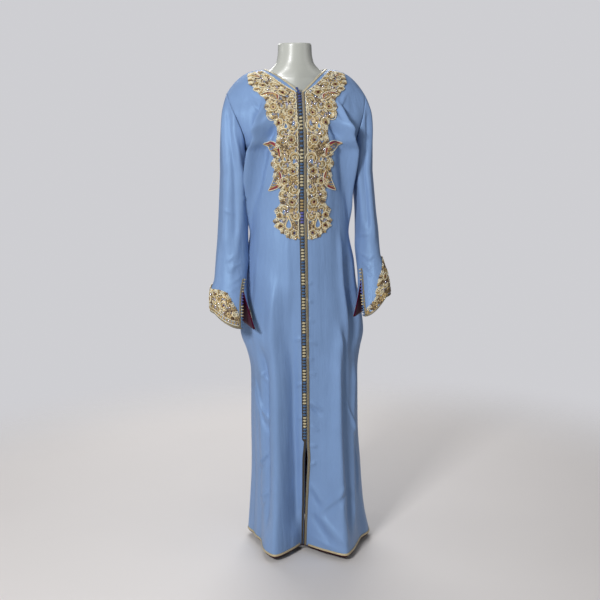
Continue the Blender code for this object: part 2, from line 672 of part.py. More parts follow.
def build_cuff_buttons(sleeves):
    """Knots along the front edge of each sleeve's slit."""
    for side, points in sleeves.items():
        edge = [points[0, k] for k in range(1, SLIT_RING + 1)]
        inside = [points[1, k] for k in range(1, SLIT_RING + 1)]
        length = sum((a[0] - b[0]).length for a, b in zip(edge, edge[1:]))
        count = 2 * round(length / BUTTON_PITCH)
        sections = []
        for k in range(count + 1):
            at = (CUFF_CORD_END + (1 - 2 * CUFF_CORD_END) * k / count) * (len(edge) - 1)
            j = min(int(at), len(edge) - 2)
            near, far = blend(edge[j], edge[j + 1], at - j), blend(inside[j], inside[j + 1], at - j)
            sections.append([blend(near, far, share) for share in KNOT_EDGES])
        knotted_cord("buttons_cuff_" + SIDE_NAME[side], sections, ON_BRAID, "knots_cream")


# --- embroidery ------------------------------------------------------------------------------------------
# The yoke's raised cord work: how far it reaches from the front edge at each row.
WorkRow = namedtuple("WorkRow", "row reach")
YOKE_WORK = (
    WorkRow(0.998, 0.016), WorkRow(1.008, 0.056), WorkRow(1.030, 0.080), WorkRow(1.080, 0.083),
    WorkRow(1.112, 0.072), WorkRow(1.138, 0.066), WorkRow(1.155, 0.100), WorkRow(1.185, 0.088),
    WorkRow(1.225, 0.090), WorkRow(1.256, 0.072), WorkRow(1.296, 0.118), WorkRow(1.306, 0.082),
    WorkRow(1.324, 0.080), WorkRow(1.336, 0.104), WorkRow(1.378, 0.110), WorkRow(1.402, 0.150),
    WorkRow(1.420, 0.152), WorkRow(1.440, 0.122), WorkRow(1.460, 0.092), WorkRow(1.474, 0.064),
)  # fmt: skip
CUFF_COLUMNS = 11  # the cuff's work ends at this column and ring of the sleeve
CUFF_RINGS = 4
CUFF_INSET = 0.25  # of a cell, between the cuff's work and the braid
WORK_STEP = 0.0135
WORK_COLUMNS = 4
WORK_THICK = 0.0014
WORK_RELIEF = 0.0014
WORK_GAP = 0.0022  # the work bends over the panel's facets between their corners


def on_panel(points, row, reach):
    """The panel's point at this row and this far along it from its front edge."""
    here = [at_row(points, i, row) for i in range(PANEL_COLUMNS + 1)]
    left = reach
    for a, b in zip(here, here[1:]):
        length = (b[0] - a[0]).length
        if left <= length:
            return blend(a, b, left / length)
        left -= length
    return here[-1]


def work_rows():
    """The work's rows, which take in every row of the panel that they pass."""
    low, high = YOKE_WORK[0].row, YOKE_WORK[-1].row
    stops = [low] + [row for row in ROWS if low < row < high] + [high]
    rows = [low]
    for a, b in zip(stops, stops[1:]):
        steps = max(round((b - a) / WORK_STEP), 1)
        rows += [a + (b - a) * (k + 1) / steps for k in range(steps)]
    return rows


def build_yoke_work(fronts):
    rows = work_rows()
    steps = len(rows) - 1
    for side, points in fronts.items():
        cloth = facets(points, half_cells(range(PANEL_COLUMNS), range(len(ROWS) - 1)))
        work = {}
        for j, row in enumerate(rows):
            outer = smooth(YOKE_WORK, "reach", row)
            for i in range(WORK_COLUMNS + 1):
                place, n = on_panel(points, row, STRIP + (outer - STRIP) * i / WORK_COLUMNS)
                work[i, j] = (cloth.find_nearest(place)[0], n)

        def relief(key):
            inside = 0 < key[0] < WORK_COLUMNS and 0 < key[1] < steps
            return WORK_GAP + WORK_THICK + (WORK_RELIEF if inside and sum(key) % 2 else 0.0)

        cells = half_cells(range(WORK_COLUMNS), range(steps))
        wall("embroidery_yoke_" + SIDE_NAME[side], work, cells, WORK_GAP, relief, "embroidery_gold")


def build_cuff_work(sleeves):
    """A band of raised work above the sleeve's hem, from the slit round the front."""
    for side, points in sleeves.items():
        work = dict(points)
        for i in range(1, CUFF_COLUMNS + 1):
            work[i, 1] = between(points, (i, 1), (i, 2), CUFF_INSET)
        for k in range(1, CUFF_RINGS + 1):
            work[1, k] = between(work, (1, k), (2, k), CUFF_INSET)

        def relief(key):
            inside = 1 < key[0] < CUFF_COLUMNS and 1 < key[1] < CUFF_RINGS
            return ON_CLOTH + WORK_THICK + (WORK_RELIEF if inside and sum(key) % 2 else 0.0)

        cells = sleeve_cells(1, CUFF_RINGS, range(1, CUFF_COLUMNS))
        wall("embroidery_cuff_" + SIDE_NAME[side], work, cells, ON_CLOTH, relief, "embroidery_gold")


# --- dress form --------------------------------------------------------------------------------------------
FormRow = namedtuple("FormRow", "row half_width front back squareness")
FORM = (
    FormRow(0.800, 0.132, 0.092, 0.080, 2.0),
    FormRow(0.812, 0.140, 0.100, 0.087, 2.0),
    FormRow(0.900, 0.141, 0.102, 0.088, 2.0),
    FormRow(1.000, 0.135, 0.098, 0.083, 2.0),
    FormRow(1.090, 0.128, 0.092, 0.077, 2.0),
    FormRow(1.180, 0.132, 0.096, 0.079, 2.0),
    FormRow(1.262, 0.138, 0.103, 0.082, 2.0),
    FormRow(1.320, 0.138, 0.100, 0.084, 1.9),
    FormRow(1.370, 0.148, 0.088, 0.080, 1.7),
    FormRow(1.410, 0.166, 0.070, 0.068, 1.5),
    FormRow(1.440, 0.180, 0.053, 0.056, 1.35),
    FormRow(1.462, 0.175, 0.043, 0.050, 1.3),
    FormRow(1.480, 0.142, 0.040, 0.049, 1.3),
    FormRow(1.493, 0.108, 0.041, 0.049, 1.4),
    FormRow(1.501, 0.075, 0.042, 0.050, 1.7),
    FormRow(1.512, 0.066, 0.047, 0.051, 1.9),
    FormRow(1.530, 0.057, 0.049, 0.053, 2.0),
    FormRow(1.555, 0.052, 0.049, 0.052, 2.0),
    FormRow(1.581, 0.0505, 0.049, 0.051, 2.0),
    FormRow(1.585, 0.0480, 0.047, 0.049, 2.0),
)
FORM_SIDES = 28
POLE_RADIUS = 0.0140
FOOT_RADIUS = 0.1050
FOOT_THICK = 0.0120
FOOT_BEVEL = 0.0030
TOUCH_GAP = 0.0003


def build_form():
    shape = bmesh.new()
    rings = []
    for r in FORM:
        ring = []
        for k in range(FORM_SIDES):
            angle = 2 * math.pi * k / FORM_SIDES
            across, ahead = bend(angle, r.squareness)
            across = math.copysign(across, math.sin(angle))
            ahead = math.copysign(ahead, math.cos(angle))
            place = (r.half_width * across, -ahead * (r.front if ahead > 0 else r.back), r.row)
            ring.append(shape.verts.new(place))
        rings.append(ring)
    for low, high in zip(rings, rings[1:]):
        for k in range(FORM_SIDES):
            after = (k + 1) % FORM_SIDES
            shape.faces.new((low[k], low[after], high[after], high[k]))
    shape.faces.new(rings[0][::-1])
    shape.faces.new(rings[-1])
    bmesh.ops.recalc_face_normals(shape, faces=shape.faces)
    add_object("form_torso", shape, "form_white", sharp=50)


def build_stand():
    pole = bmesh.new()
    low, high = FOOT_THICK + TOUCH_GAP, FORM[0].row - TOUCH_GAP
    bmesh.ops.create_cone(
        pole, cap_ends=True, segments=20, radius1=POLE_RADIUS, radius2=POLE_RADIUS, depth=high - low
    )
    bmesh.ops.translate(pole, verts=pole.verts, vec=(0, 0, (low + high) / 2))
    add_object("form_pole", pole, "stand_steel")
    foot = bmesh.new()
    bmesh.ops.create_cone(
        foot, cap_ends=True, segments=32, radius1=FOOT_RADIUS, radius2=FOOT_RADIUS, depth=FOOT_THICK
    )
    bmesh.ops.translate(foot, verts=foot.verts, vec=(0, 0, FOOT_THICK / 2))
    rim = [e for e in foot.edges if all(v.co.z > FOOT_THICK - 1e-5 for v in e.verts)]
    bmesh.ops.bevel(foot, geom=rim, offset=FOOT_BEVEL, segments=2, profile=0.5, affect="EDGES")
    add_object("form_foot", foot, "stand_steel")


def main():
    for old in list(bpy.data.objects):
        bpy.data.objects.remove(old, do_unlink=True)
    fronts, back = build_fronts(), build_back()
    sleeves = build_sleeves()
    build_skirt_lining(fronts, back)
    build_front_braids(fronts)
    build_neck_braid(back)
    build_piping(fronts, back)
    build_front_buttons(fronts)
    build_cuff_buttons(sleeves)
    build_yoke_work(fronts)
    build_cuff_work(sleeves)
    build_form()
    build_stand()


main()
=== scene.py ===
"""Looks of the Moroccan kaftan on its dress form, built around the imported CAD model.

Metres, +Z up, front towards -Y. The cloth pieces are laid on much the same sections and folds as the CAD
panels, with finer folds and creases added. Trims and embroidery lie on nets of places on the cloth.
"""

import functools
import math
import random
from collections import namedtuple

import bmesh
import bpy
import numpy as np
from bpy.props import FloatProperty, FloatVectorProperty, IntProperty, PointerProperty
from mathutils import Matrix, Vector
from mathutils.bvhtree import BVHTree


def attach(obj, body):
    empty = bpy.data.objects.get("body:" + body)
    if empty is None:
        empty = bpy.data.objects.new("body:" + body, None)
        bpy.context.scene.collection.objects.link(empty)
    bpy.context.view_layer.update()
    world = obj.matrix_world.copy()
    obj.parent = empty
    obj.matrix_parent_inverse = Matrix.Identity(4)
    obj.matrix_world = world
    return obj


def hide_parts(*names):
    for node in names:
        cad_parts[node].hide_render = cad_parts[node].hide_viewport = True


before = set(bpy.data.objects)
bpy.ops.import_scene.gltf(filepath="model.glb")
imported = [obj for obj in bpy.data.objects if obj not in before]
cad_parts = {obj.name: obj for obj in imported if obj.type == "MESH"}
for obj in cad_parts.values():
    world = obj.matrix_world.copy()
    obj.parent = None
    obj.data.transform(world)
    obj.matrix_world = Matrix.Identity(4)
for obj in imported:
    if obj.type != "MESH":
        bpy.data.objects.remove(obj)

bl_info = {
    "name": "Moroccan kaftan",
    "version": (1, 0, 0),
    "blender": (4, 5, 0),
    "location": "View3D > Sidebar > Kaftan",
    "description": "Builds the kaftan, its embroidery and its dress form round the CAD frame",
    "category": "Object",
}

RIGHT, LEFT = -1, 1  # the wearer's right is -X
SIDE_NAME = {RIGHT: "right", LEFT: "left"}

# --- the cloth's sections -------------------------------------------------------------------------
# A row is the height at which the cloth would lie if it didn't bend over the shoulder.
HEM, SLIT_TOP, LINING_TOP = 0.020, 0.375, 0.445
UNDERARM, NECK_V, NECK_BACK, SHOULDER = 1.262, 1.420, 1.440, 1.480
STRIP = 0.012  # width of the strip that carries the braid
FRONT_GAP, SLIT_GAP = 0.0006, 0.008  # between the front edges, above the slit and in it


def rows_of(kind, *rows):
    """A table of rows of this kind, from their numbers."""
    return tuple(kind(*row) for row in rows)


# The body below the underarm. Widths and depths run from its middle; squareness is 2 for an ellipse.
BodyRow = namedtuple("BodyRow", "row half_width sway front back squareness")
BODY = rows_of(
    BodyRow,
    (0.02, 0.19, 0.041, 0.165, 0.15, 3.1), (0.12, 0.178, 0.034, 0.16, 0.143, 2.9),
    (0.25, 0.171, 0.031, 0.155, 0.136, 2.7), (0.4, 0.168, 0.025, 0.15, 0.13, 2.5),
    (0.55, 0.168, 0.024, 0.146, 0.126, 2.4), (0.64, 0.176, 0.02, 0.143, 0.124, 2.3),
    (0.7, 0.187, 0.016, 0.141, 0.124, 2.2), (0.76, 0.182, 0.014, 0.139, 0.122, 2.2),
    (0.86, 0.165, 0.012, 0.135, 0.116, 2.15), (0.98, 0.157, 0.009, 0.128, 0.106, 2.1),
    (1.09, 0.151, 0.0085, 0.12, 0.096, 2.1), (1.18, 0.156, 0.01, 0.124, 0.098, 2.1),
)
# The body above it: a row runs from the centre or the neck (inner) to the armhole (outer).
YokeRow = namedtuple(
    "YokeRow", "row sway inner_x inner_y inner_z outer_x outer_y outer_z squareness turn drop"
)
FRONT_YOKE = rows_of(
    YokeRow,
    (1.262, 0.0125, 0.000, -0.128, 1.262, 0.1625, -0.004, 1.262, 2.1, 90, 1.2),
    (1.300, 0.0115, 0.000, -0.124, 1.316, 0.1680, -0.042, 1.290, 2.0, 76, 1.2),
    (1.340, 0.0100, 0.000, -0.114, 1.362, 0.1790, -0.056, 1.326, 2.0, 64, 1.2),
    (1.380, 0.0080, 0.000, -0.099, 1.404, 0.1940, -0.053, 1.368, 2.0, 54, 1.2),
    (1.420, 0.0050, 0.000, -0.084, 1.440, 0.2055, -0.036, 1.403, 2.0, 44, 1.3),
    (1.440, 0.0040, 0.034, -0.066, 1.468, 0.2100, -0.0265, 1.419, 2.0, 38, 1.8),
    (1.460, 0.0025, 0.066, -0.037, 1.493, 0.2120, -0.0130, 1.431, 2.0, 32, 2.3),
    (1.480, 0.0020, 0.089, 0.004, 1.508, 0.2125, 0.004, 1.4365, 2.0, 26, 2.7),
)
BACK_YOKE = rows_of(
    YokeRow,
    (1.262, 0.0125, 0.000, 0.099, 1.262, 0.1625, -0.004, 1.262, 2.1, 90, 1.2),
    (1.300, 0.0115, 0.000, 0.104, 1.316, 0.1690, 0.036, 1.290, 2.0, 76, 1.2),
    (1.340, 0.0100, 0.000, 0.104, 1.362, 0.1800, 0.054, 1.326, 2.0, 64, 1.2),
    (1.380, 0.0080, 0.000, 0.096, 1.408, 0.1945, 0.054, 1.368, 2.0, 54, 1.2),
    (1.420, 0.0050, 0.000, 0.079, 1.455, 0.2060, 0.041, 1.403, 2.0, 44, 1.3),
    (1.440, 0.0040, 0.000, 0.066, 1.480, 0.2105, 0.0325, 1.419, 2.0, 38, 1.8),
    (1.460, 0.0025, 0.054, 0.046, 1.496, 0.2122, 0.0205, 1.431, 2.0, 32, 2.3),
    (1.480, 0.0020, 0.089, 0.004, 1.508, 0.2125, 0.004, 1.4365, 2.0, 26, 2.7),
)
CentreRow = namedtuple("CentreRow", "row x gap")  # where the front closes
CENTRE_FRONT = rows_of(
    CentreRow,
    (0.02, 0.001, 0.003), (0.155, 0.004, 0.003), (0.235, 0.006, 0.005), (0.31, 0.008, SLIT_GAP),
    (0.375, 0.009, FRONT_GAP), (0.65, 0.01, FRONT_GAP), (1.09, 0.009, FRONT_GAP),
    (1.42, 0.008, FRONT_GAP), (1.48, 0.002, FRONT_GAP),
)
# Angles run from the centre front, + towards +X. Depths are outwards if positive.
Fold = namedtuple("Fold", "top bottom top_angle bottom_angle top_depth bottom_depth width")
FOLDS = rows_of(
    Fold,
    (0.95, HEM, -44, -34, 0.004, 0.036, 13), (0.8, HEM, 36, 24, 0.003, 0.054, 12),
    (0.44, HEM, -2, -3, 0, -0.048, 12), (0.7, HEM, 60, 55, -0.003, -0.022, 13),
    (0.62, HEM, -66, -64, -0.003, -0.014, 12), (0.78, 0.12, -22, -20, -0.004, -0.008, 9),
    (0.85, HEM, 108, 112, -0.003, -0.02, 12), (0.9, HEM, 132, 138, 0.003, 0.026, 12),
    (0.8, HEM, 164, 168, -0.004, -0.026, 11), (0.92, HEM, -162, -158, 0.003, 0.024, 12),
    (0.8, HEM, -134, -128, -0.003, -0.026, 12), (0.88, HEM, -108, -104, 0.002, 0.018, 10),
    (1.4, 1.02, -56, -94, -0.009, -0.005, 8), (1.4, 0.98, -44, -86, 0.007, 0.003, 8),
    (1.4, 1, 58, 82, -0.009, -0.005, 8), (1.4, 0.98, 46, 69, 0.007, 0.003, 8),
    (1.38, 0.9, 150, 146, 0.005, 0.004, 12), (1.38, 0.9, -150, -146, 0.005, 0.004, 12),
    (1.2, 0.7, 122, 118, -0.005, -0.004, 11), (1.2, 0.7, -122, -118, -0.005, -0.004, 11),
)
# Finer and deeper folds, which the CAD leaves out.
FINE_FOLDS = rows_of(
    Fold,
    (1.45, 1.34, -67, -52, 0.004, 0.005, 6), (1.43, 1, -42, -86, 0.029, 0.02, 3.4),
    (1.42, 1.02, -52, -96, -0.024, -0.013, 6), (1.37, 1.08, -34, -68, -0.015, -0.012, 7),
    (1.33, 1.04, -92, -92, 0.01, 0.006, 14), (1.01, 0.58, -90, -90, 0.012, 0.008, 18),
    (1.33, 1.08, 94, 94, 0.013, 0.006, 14), (1.01, 0.58, 90, 90, 0.012, 0.008, 18),
    (1.37, 1.18, -40, -50, -0.006, -0.003, 7), (1.46, 1.3, 66, 74, -0.005, -0.004, 6),
    (1.43, 1, 43, 78, 0.028, 0.018, 3.4), (1.42, 1.02, 53, 90, -0.023, -0.012, 6),
    (1.37, 1.08, 35, 62, -0.014, -0.011, 7), (1.3, 0.6, -21, -16, 0.002, 0.004, 4),
    (1.04, 0.55, 46, 40, 0.01, 0.008, 4), (1, 0.6, 56, 51, -0.016, -0.014, 7),
    (1, 0.66, 70, 66, 0.006, 0.008, 6), (0.98, 0.64, -60, -52, 0.004, 0.004, 6),
    (0.9, HEM, -33, -27, 0.012, 0.022, 6), (0.7, 0.05, -48, -42, -0.018, -0.02, 6),
    (0.86, 0.05, -16, -15, -0.012, -0.03, 7), (0.7, 0.1, -24, -24, 0.002, 0.004, 4),
    (0.76, HEM, 32, 22, 0.012, 0.018, 4), (0.76, 0.04, 41, 31, -0.012, -0.016, 5),
    (0.64, 0.04, 60, 38, 0.012, 0.014, 5), (0.52, 0.1, -60, -58, 0.004, 0.006, 5),
)
# A short crease or pucker, along a straight line between two places. Widths are in metres.
Crease = namedtuple("Crease", "angle row to_angle to_row depth width")
BODY_CREASES = rows_of(
    Crease,
    (-76, 0.556, -39, 0.41, 0.0095, 0.005), (-80, 0.53, -43, 0.384, -0.0105, 0.009),
    (-56, 0.585, -44, 0.545, 0.0045, 0.005), (-60, 0.56, -48, 0.59, 0.0035, 0.004),
    (-74, 0.25, -40, 0.345, 0.005, 0.005), (-72, 0.236, -42, 0.33, -0.005, 0.007),
    (-70, 0.158, -38, 0.216, 0.0042, 0.005), (-66, 0.12, -44, 0.19, -0.004, 0.006),
    (31, 0.72, 40, 0.48, 0.006, 0.004), (39, 0.5, 63, 0.31, 0.007, 0.005),
    (62, 0.33, 63, 0.15, 0.006, 0.006), (33, 0.31, 25, 0.04, 0.007, 0.005),
    (5, 0.238, 14, 0.168, 0.0072, 0.0061), (4, 0.215, 13, 0.15, -0.0072, 0.0061),
    (10, 0.148, 23, 0.046, 0.0108, 0.0076), (7, 0.135, 19, 0.04, -0.0108, 0.0076),
    (11, 0.134, 30, 0.25, 0.0054, 0.0046), (13, 0.12, 31, 0.232, -0.0054, 0.0053),
    (5, 0.062, 21, 0.028, 0.0054, 0.0061), (3, 0.504, 16, 0.466, 0.0057, 0.0046),
    (3, 0.49, 15, 0.45, -0.0057, 0.0053), (3, 0.426, 13, 0.402, 0.0049, 0.0046),
    (3, 0.36, 11, 0.354, 0.0059, 0.0038), (3, 0.292, 10, 0.304, 0.0059, 0.0038),
    (2, 0.594, 10, 0.582, 0.0045, 0.0046), (1, 0.694, 11, 0.676, 0.0049, 0.0046),
    (1, 0.64, 8, 0.63, 0.0049, 0.0038), (1, 0.818, 8, 0.808, 0.0054, 0.0038),
    (1, 0.872, 8, 0.866, 0.0043, 0.0038), (1, 0.76, 9, 0.748, 0.0043, 0.0038),
    (-3, 0.7, -12, 0.69, 0.0043, 0.0046), (-3, 0.56, -13, 0.545, 0.0049, 0.0046),
    (-3, 0.455, -12, 0.44, 0.0049, 0.0046), (-26, 1.34, -54, 1.296, -0.018, 0.013),
    (-34, 1.372, -60, 1.312, 0.01, 0.008), (26, 1.343, 52, 1.3, -0.017, 0.013),
    (34, 1.374, 56, 1.316, 0.01, 0.008), (-72, 1.3, -42, 1.38, 0.008, 0.01),
    (-54, 1.355, -90, 1.08, -0.015, 0.007), (-46, 1.355, -80, 1.08, 0.01, 0.006),
    (46, 1.37, 74, 1.1, 0.013, 0.0065), (54, 1.37, 84, 1.1, -0.013, 0.008),
    (-53, 1.372, -60, 1.435, 0.0035, 0.007), (44, 1.365, 58, 1.44, 0.0035, 0.008),
    (62, 0.95, 50, 0.925, 0.002, 0.006), (64, 0.905, 52, 0.885, 0.002, 0.006),
    (64, 0.83, 54, 0.85, 0.002, 0.006), (150, 0.9, 120, 0.82, 0.004, 0.012),
    (-150, 0.88, -118, 0.8, 0.004, 0.012), (170, 1.1, 140, 1.18, 0.0035, 0.012),
    (-170, 1.08, -140, 1.17, 0.0035, 0.012), (175, 0.42, 150, 0.3, 0.004, 0.01),
    (-120, 0.350, -146, 0.230, 0.0040, 0.010),
)
BODY_SPAN = 0.0029  # metres to a degree round the body
FOLD_FADE = 0.10  # a fold fades out over this height at each end
FOLD_SWELL = 1.4  # over 1, a fold gets its depth late on its way down
SHOULDER_FLAT = 0.05  # below the shoulder's seam, the folds fade out over this height
SIDE_Y, SIDE_TURN, SIDE_DROP = -0.004, 90, 1.2  # how the body's rows end at the side seams
Cup = namedtuple("Cup", "angle row depth width height")
CUPS = rows_of(Cup, (-38, 1.325, 0.014, 20, 0.055), (38, 1.325, 0.014, 20, 0.055))


def column(table, name):
    return np.array([getattr(row, name) for row in table])


def smooth(table, name, rows):
    """The column's values at these rows, on a curve through the table that never overshoots."""
    at, value = column(table, "row"), column(table, name)
    rise = np.diff(value) / np.diff(at)
    below, above = rise[:-1], rise[1:]
    same_way = below * above > 0
    inner = np.where(same_way, 2 * below * above / np.where(same_way, below + above, 1), 0)
    slope = np.concatenate([rise[:1], inner, rise[-1:]])
    i = np.clip(np.searchsorted(at, rows, side="right") - 1, 0, len(at) - 2)
    step = at[i + 1] - at[i]
    t = np.clip((rows - at[i]) / step, 0, 1)
    return (
        value[i] * (1 + 2 * t) * (1 - t) ** 2
        + slope[i] * step * t * (1 - t) ** 2
        + value[i + 1] * t * t * (3 - 2 * t)
        - slope[i + 1] * step * t * t * (1 - t)
    )


def ease(t):
    t = np.clip(t, 0, 1)
    return t * t * (3 - 2 * t)


def body_as_yoke(row, depth):
    """A row of the body as one of the yoke's: level, and out to the side seam."""
    inner, outer = (0.0, depth, row.row), (row.half_width, SIDE_Y, row.row)
    return YokeRow(row.row, row.sway, *inner, *outer, row.squareness, SIDE_TURN, SIDE_DROP)


FRONT = tuple(body_as_yoke(r, -r.front) for r in BODY) + FRONT_YOKE
BACK = tuple(body_as_yoke(r, r.back) for r in BODY) + BACK_YOKE


def half_turn(degrees):
    """The angles brought into -180 to 180 degrees."""
    return (degrees + 180) % 360 - 180


def fold_depth(angle, row, folds, fade_over=FOLD_FADE, swell=FOLD_SWELL):
    """How far these folds push the cloth out at these angles and rows. At the hem a fold doesn't fade."""
    total = np.zeros_like(angle)
    for f in folds:
        t = np.clip((f.top - row) / (f.top - f.bottom), 0, 1)
        away = half_turn(angle - (f.top_angle + (f.bottom_angle - f.top_angle) * t))
        depth = f.top_depth + (f.bottom_depth - f.top_depth) * t**swell
        fade = ease((f.top - row) / fade_over)
        if f.bottom > HEM:
            fade = fade * ease((row - f.bottom) / fade_over)
        total += depth * fade * np.exp(-((away / f.width) ** 2))
    return total


def crease_depth(angle, row, creases, span):
    """How far these creases push the cloth out. span is the metres to a degree round the cloth."""
    total = np.zeros_like(angle)
    for c in creases:
        run, climb = (c.to_angle - c.angle) * span, c.to_row - c.row
        length = math.hypot(run, climb)
        x, y = half_turn(angle - c.angle) * span, row - c.row
        share = (x * run + y * climb) / length**2
        away = (y * run - x * climb) / length
        taper = ease(1 - np.abs(2 * share - 1)) ** 0.5
        total += c.depth * taper * np.exp(-((away / c.width) ** 2))
    return total


def cup_depth(angle, row):
    total = np.zeros_like(angle)
    for c in CUPS:
        total += c.depth * np.exp(-(((angle - c.angle) / c.width) ** 2) - ((row - c.row) / c.height) ** 2)
    return total


def bend(angle, squareness):
    """The point at this angle from the front of a unit superellipse: (across, ahead)."""
    across, ahead = np.abs(np.sin(angle)), np.abs(np.cos(angle))
    reach = (across**squareness + ahead**squareness) ** (-1 / squareness)
    return across * reach, ahead * reach


def surface(part, side, u, row):
    """The cloth's outer surface: u runs from the centre or neck line (0) to the side or armhole (1)."""
    u, row = np.broadcast_arrays(np.asarray(u, float), np.asarray(row, float))
    table = FRONT if part == "front" else BACK
    v = {name: smooth(table, name, row) for name in YokeRow._fields[1:]}
    centre = smooth(CENTRE_FRONT, "x", row) if part == "front" else v["sway"]
    inner_x = centre + side * np.interp(row, column(table, "row"), column(table, "inner_x"))
    outer_x = v["sway"] + side * v["outer_x"]
    across, ahead = bend(u * np.radians(v["turn"]), v["squareness"])
    last_across, last_ahead = bend(np.radians(v["turn"]), v["squareness"])
    across, ahead = across / last_across, (ahead - last_ahead) / (1 - last_ahead)
    angle = side * (u * 90 if part == "front" else 180 - u * 90)
    out = fold_depth(angle, row, FOLDS) + fold_depth(angle, row, FINE_FOLDS) + cup_depth(angle, row)
    out = out + crease_depth(angle, row, BODY_CREASES, BODY_SPAN)
    out = out * ease((SHOULDER - row) / SHOULDER_FLAT)
    return np.stack(
        [
            inner_x + (outer_x - inner_x) * across + out * np.sin(np.radians(angle)),
            v["outer_y"] + (v["inner_y"] - v["outer_y"]) * ahead - out * np.cos(np.radians(angle)),
            v["inner_z"] + (v["outer_z"] - v["inner_z"]) * across ** v["drop"],
        ],
        axis=-1,
    )


# --- nets of places on the cloth ------------------------------------------------------------------
def unit(vectors):
    return vectors / np.maximum(np.linalg.norm(vectors, axis=-1, keepdims=True), 1e-12)


def lengths_to(steps):
    """How far it is to each place, from the steps between them."""
    return np.concatenate([[0], np.cumsum(steps)])


def facing(part, side):
    """Which way round a half panel's net faces outwards."""
    return side if part == "front" else -side


class Net:
    """Places on a stretch of cloth: points[i, j] runs across it with i and up it with j."""

    def __init__(self, points, heights, outwards):
        self.points, self.heights = points, heights
        across, up = np.gradient(points, axis=0), np.gradient(points, axis=1)
        self.normals = unit(np.cross(across, up) * outwards)
        steps = np.linalg.norm(np.diff(points, axis=0), axis=-1)
        self.reach = np.concatenate([np.zeros((1, points.shape[1])), np.cumsum(steps, axis=0)])

    def at(self, reach, height, lift=0.0):
        """The places this far across from the first edge at this height, lifted off the cloth."""
        reach, height, lift = np.broadcast_arrays(reach, height, lift)
        shape, reach, height, lift = reach.shape, reach.ravel(), height.ravel(), lift.ravel()
        j = np.clip(np.searchsorted(self.heights, height, side="right") - 1, 0, len(self.heights) - 2)
        t = np.clip((height - self.heights[j]) / (self.heights[j + 1] - self.heights[j]), 0, 1)
        lengths = self.reach[:, j] * (1 - t) + self.reach[:, j + 1] * t
        i = np.clip((lengths <= reach).sum(axis=0) - 1, 0, len(lengths) - 2)
        n = np.arange(len(i))
        s = (reach - lengths[i, n]) / (lengths[i + 1, n] - lengths[i, n])
        s, t = s[:, None], t[:, None]

        def mix(grid):
            low = grid[i, j] * (1 - s) + grid[i + 1, j] * s
            high = grid[i, j + 1] * (1 - s) + grid[i + 1, j + 1] * s
            return low * (1 - t) + high * t

        return (mix(self.points) + unit(mix(self.normals)) * lift[:, None]).reshape(*shape, 3)

    def up_from(self, height, reach):
        """A function from lengths along the cloth, upwards from this height, to heights."""
        heights = self.heights[self.heights >= height]
        line = self.at(np.full(len(heights), reach), heights)
        lengths = lengths_to(np.linalg.norm(np.diff(line, axis=0), axis=1))
        return lambda length: np.interp(length, lengths, heights)


SEAM_GAP = 0.0001
LAYER_GAP = 0.0004  # between cloth and what lies on or under it
EDGE_STEPS = (0.0, 0.004, 0.008)  # places across the strip that carries the braid
PANEL_ACROSS = {"front": 88, "back": 60}  # even steps of a half panel, after the strip
YOKE_FINE = 1.40
SKIRT_UP, YOKE_UP = 270, 30  # steps up a panel, below and above YOKE_FINE
SHOULDER_STEPS = (0.0016, 0.0008, 0.0)  # the last rows, below the shoulder's seam
SEAM_DIP = 0.0004  # a seam pulls the cloth in
SEAM_WIDTH, SEAM_ROWS = 0.004, 0.002


def panel_shares(part, side, rows):
    """Shares across a half panel, at each row: fine at both edges, even between them."""
    low, high = surface(part, side, 0.008, rows), surface(part, side, 0.012, rows)
    strip = STRIP / (np.linalg.norm(high - low, axis=-1) / 0.004)
    edge = np.array(EDGE_STEPS)[:, None] * strip / STRIP
    steps = PANEL_ACROSS[part]
    even = strip + (1 - edge[-1] - strip) * np.arange(1, steps)[:, None] / steps
    return np.concatenate([edge, strip[None], even, 1 - edge[::-1]])


@functools.lru_cache(maxsize=None)
def panel_net(part, side):
    """The net of one half of the front or back, with the front edges drawn apart at the slit."""
    low, high = np.linspace(HEM, YOKE_FINE, SKIRT_UP + 1), np.linspace(YOKE_FINE, SHOULDER, YOKE_UP + 1)
    rows = np.concatenate([low, high[1:-1], SHOULDER - np.array(SHOULDER_STEPS)])
    points = surface(part, side, panel_shares(part, side, rows), rows[None, :])
    if part == "front":
        gap = smooth(CENTRE_FRONT, "gap", rows) / 2
        inside = np.array([*EDGE_STEPS, STRIP]) / STRIP
        points[: len(inside), :, 0] += side * gap * (1 - inside[:, None])
    net = Net(points, rows, facing(part, side))
    from_seam = net.reach[-1] - net.reach
    dip = np.exp(-((from_seam / SEAM_WIDTH) ** 2)) + np.exp(-(((SHOULDER - rows) / SEAM_ROWS) ** 2))
    net.points = points - net.normals * (SEAM_DIP * np.minimum(dip, 1))[..., None]
    return net


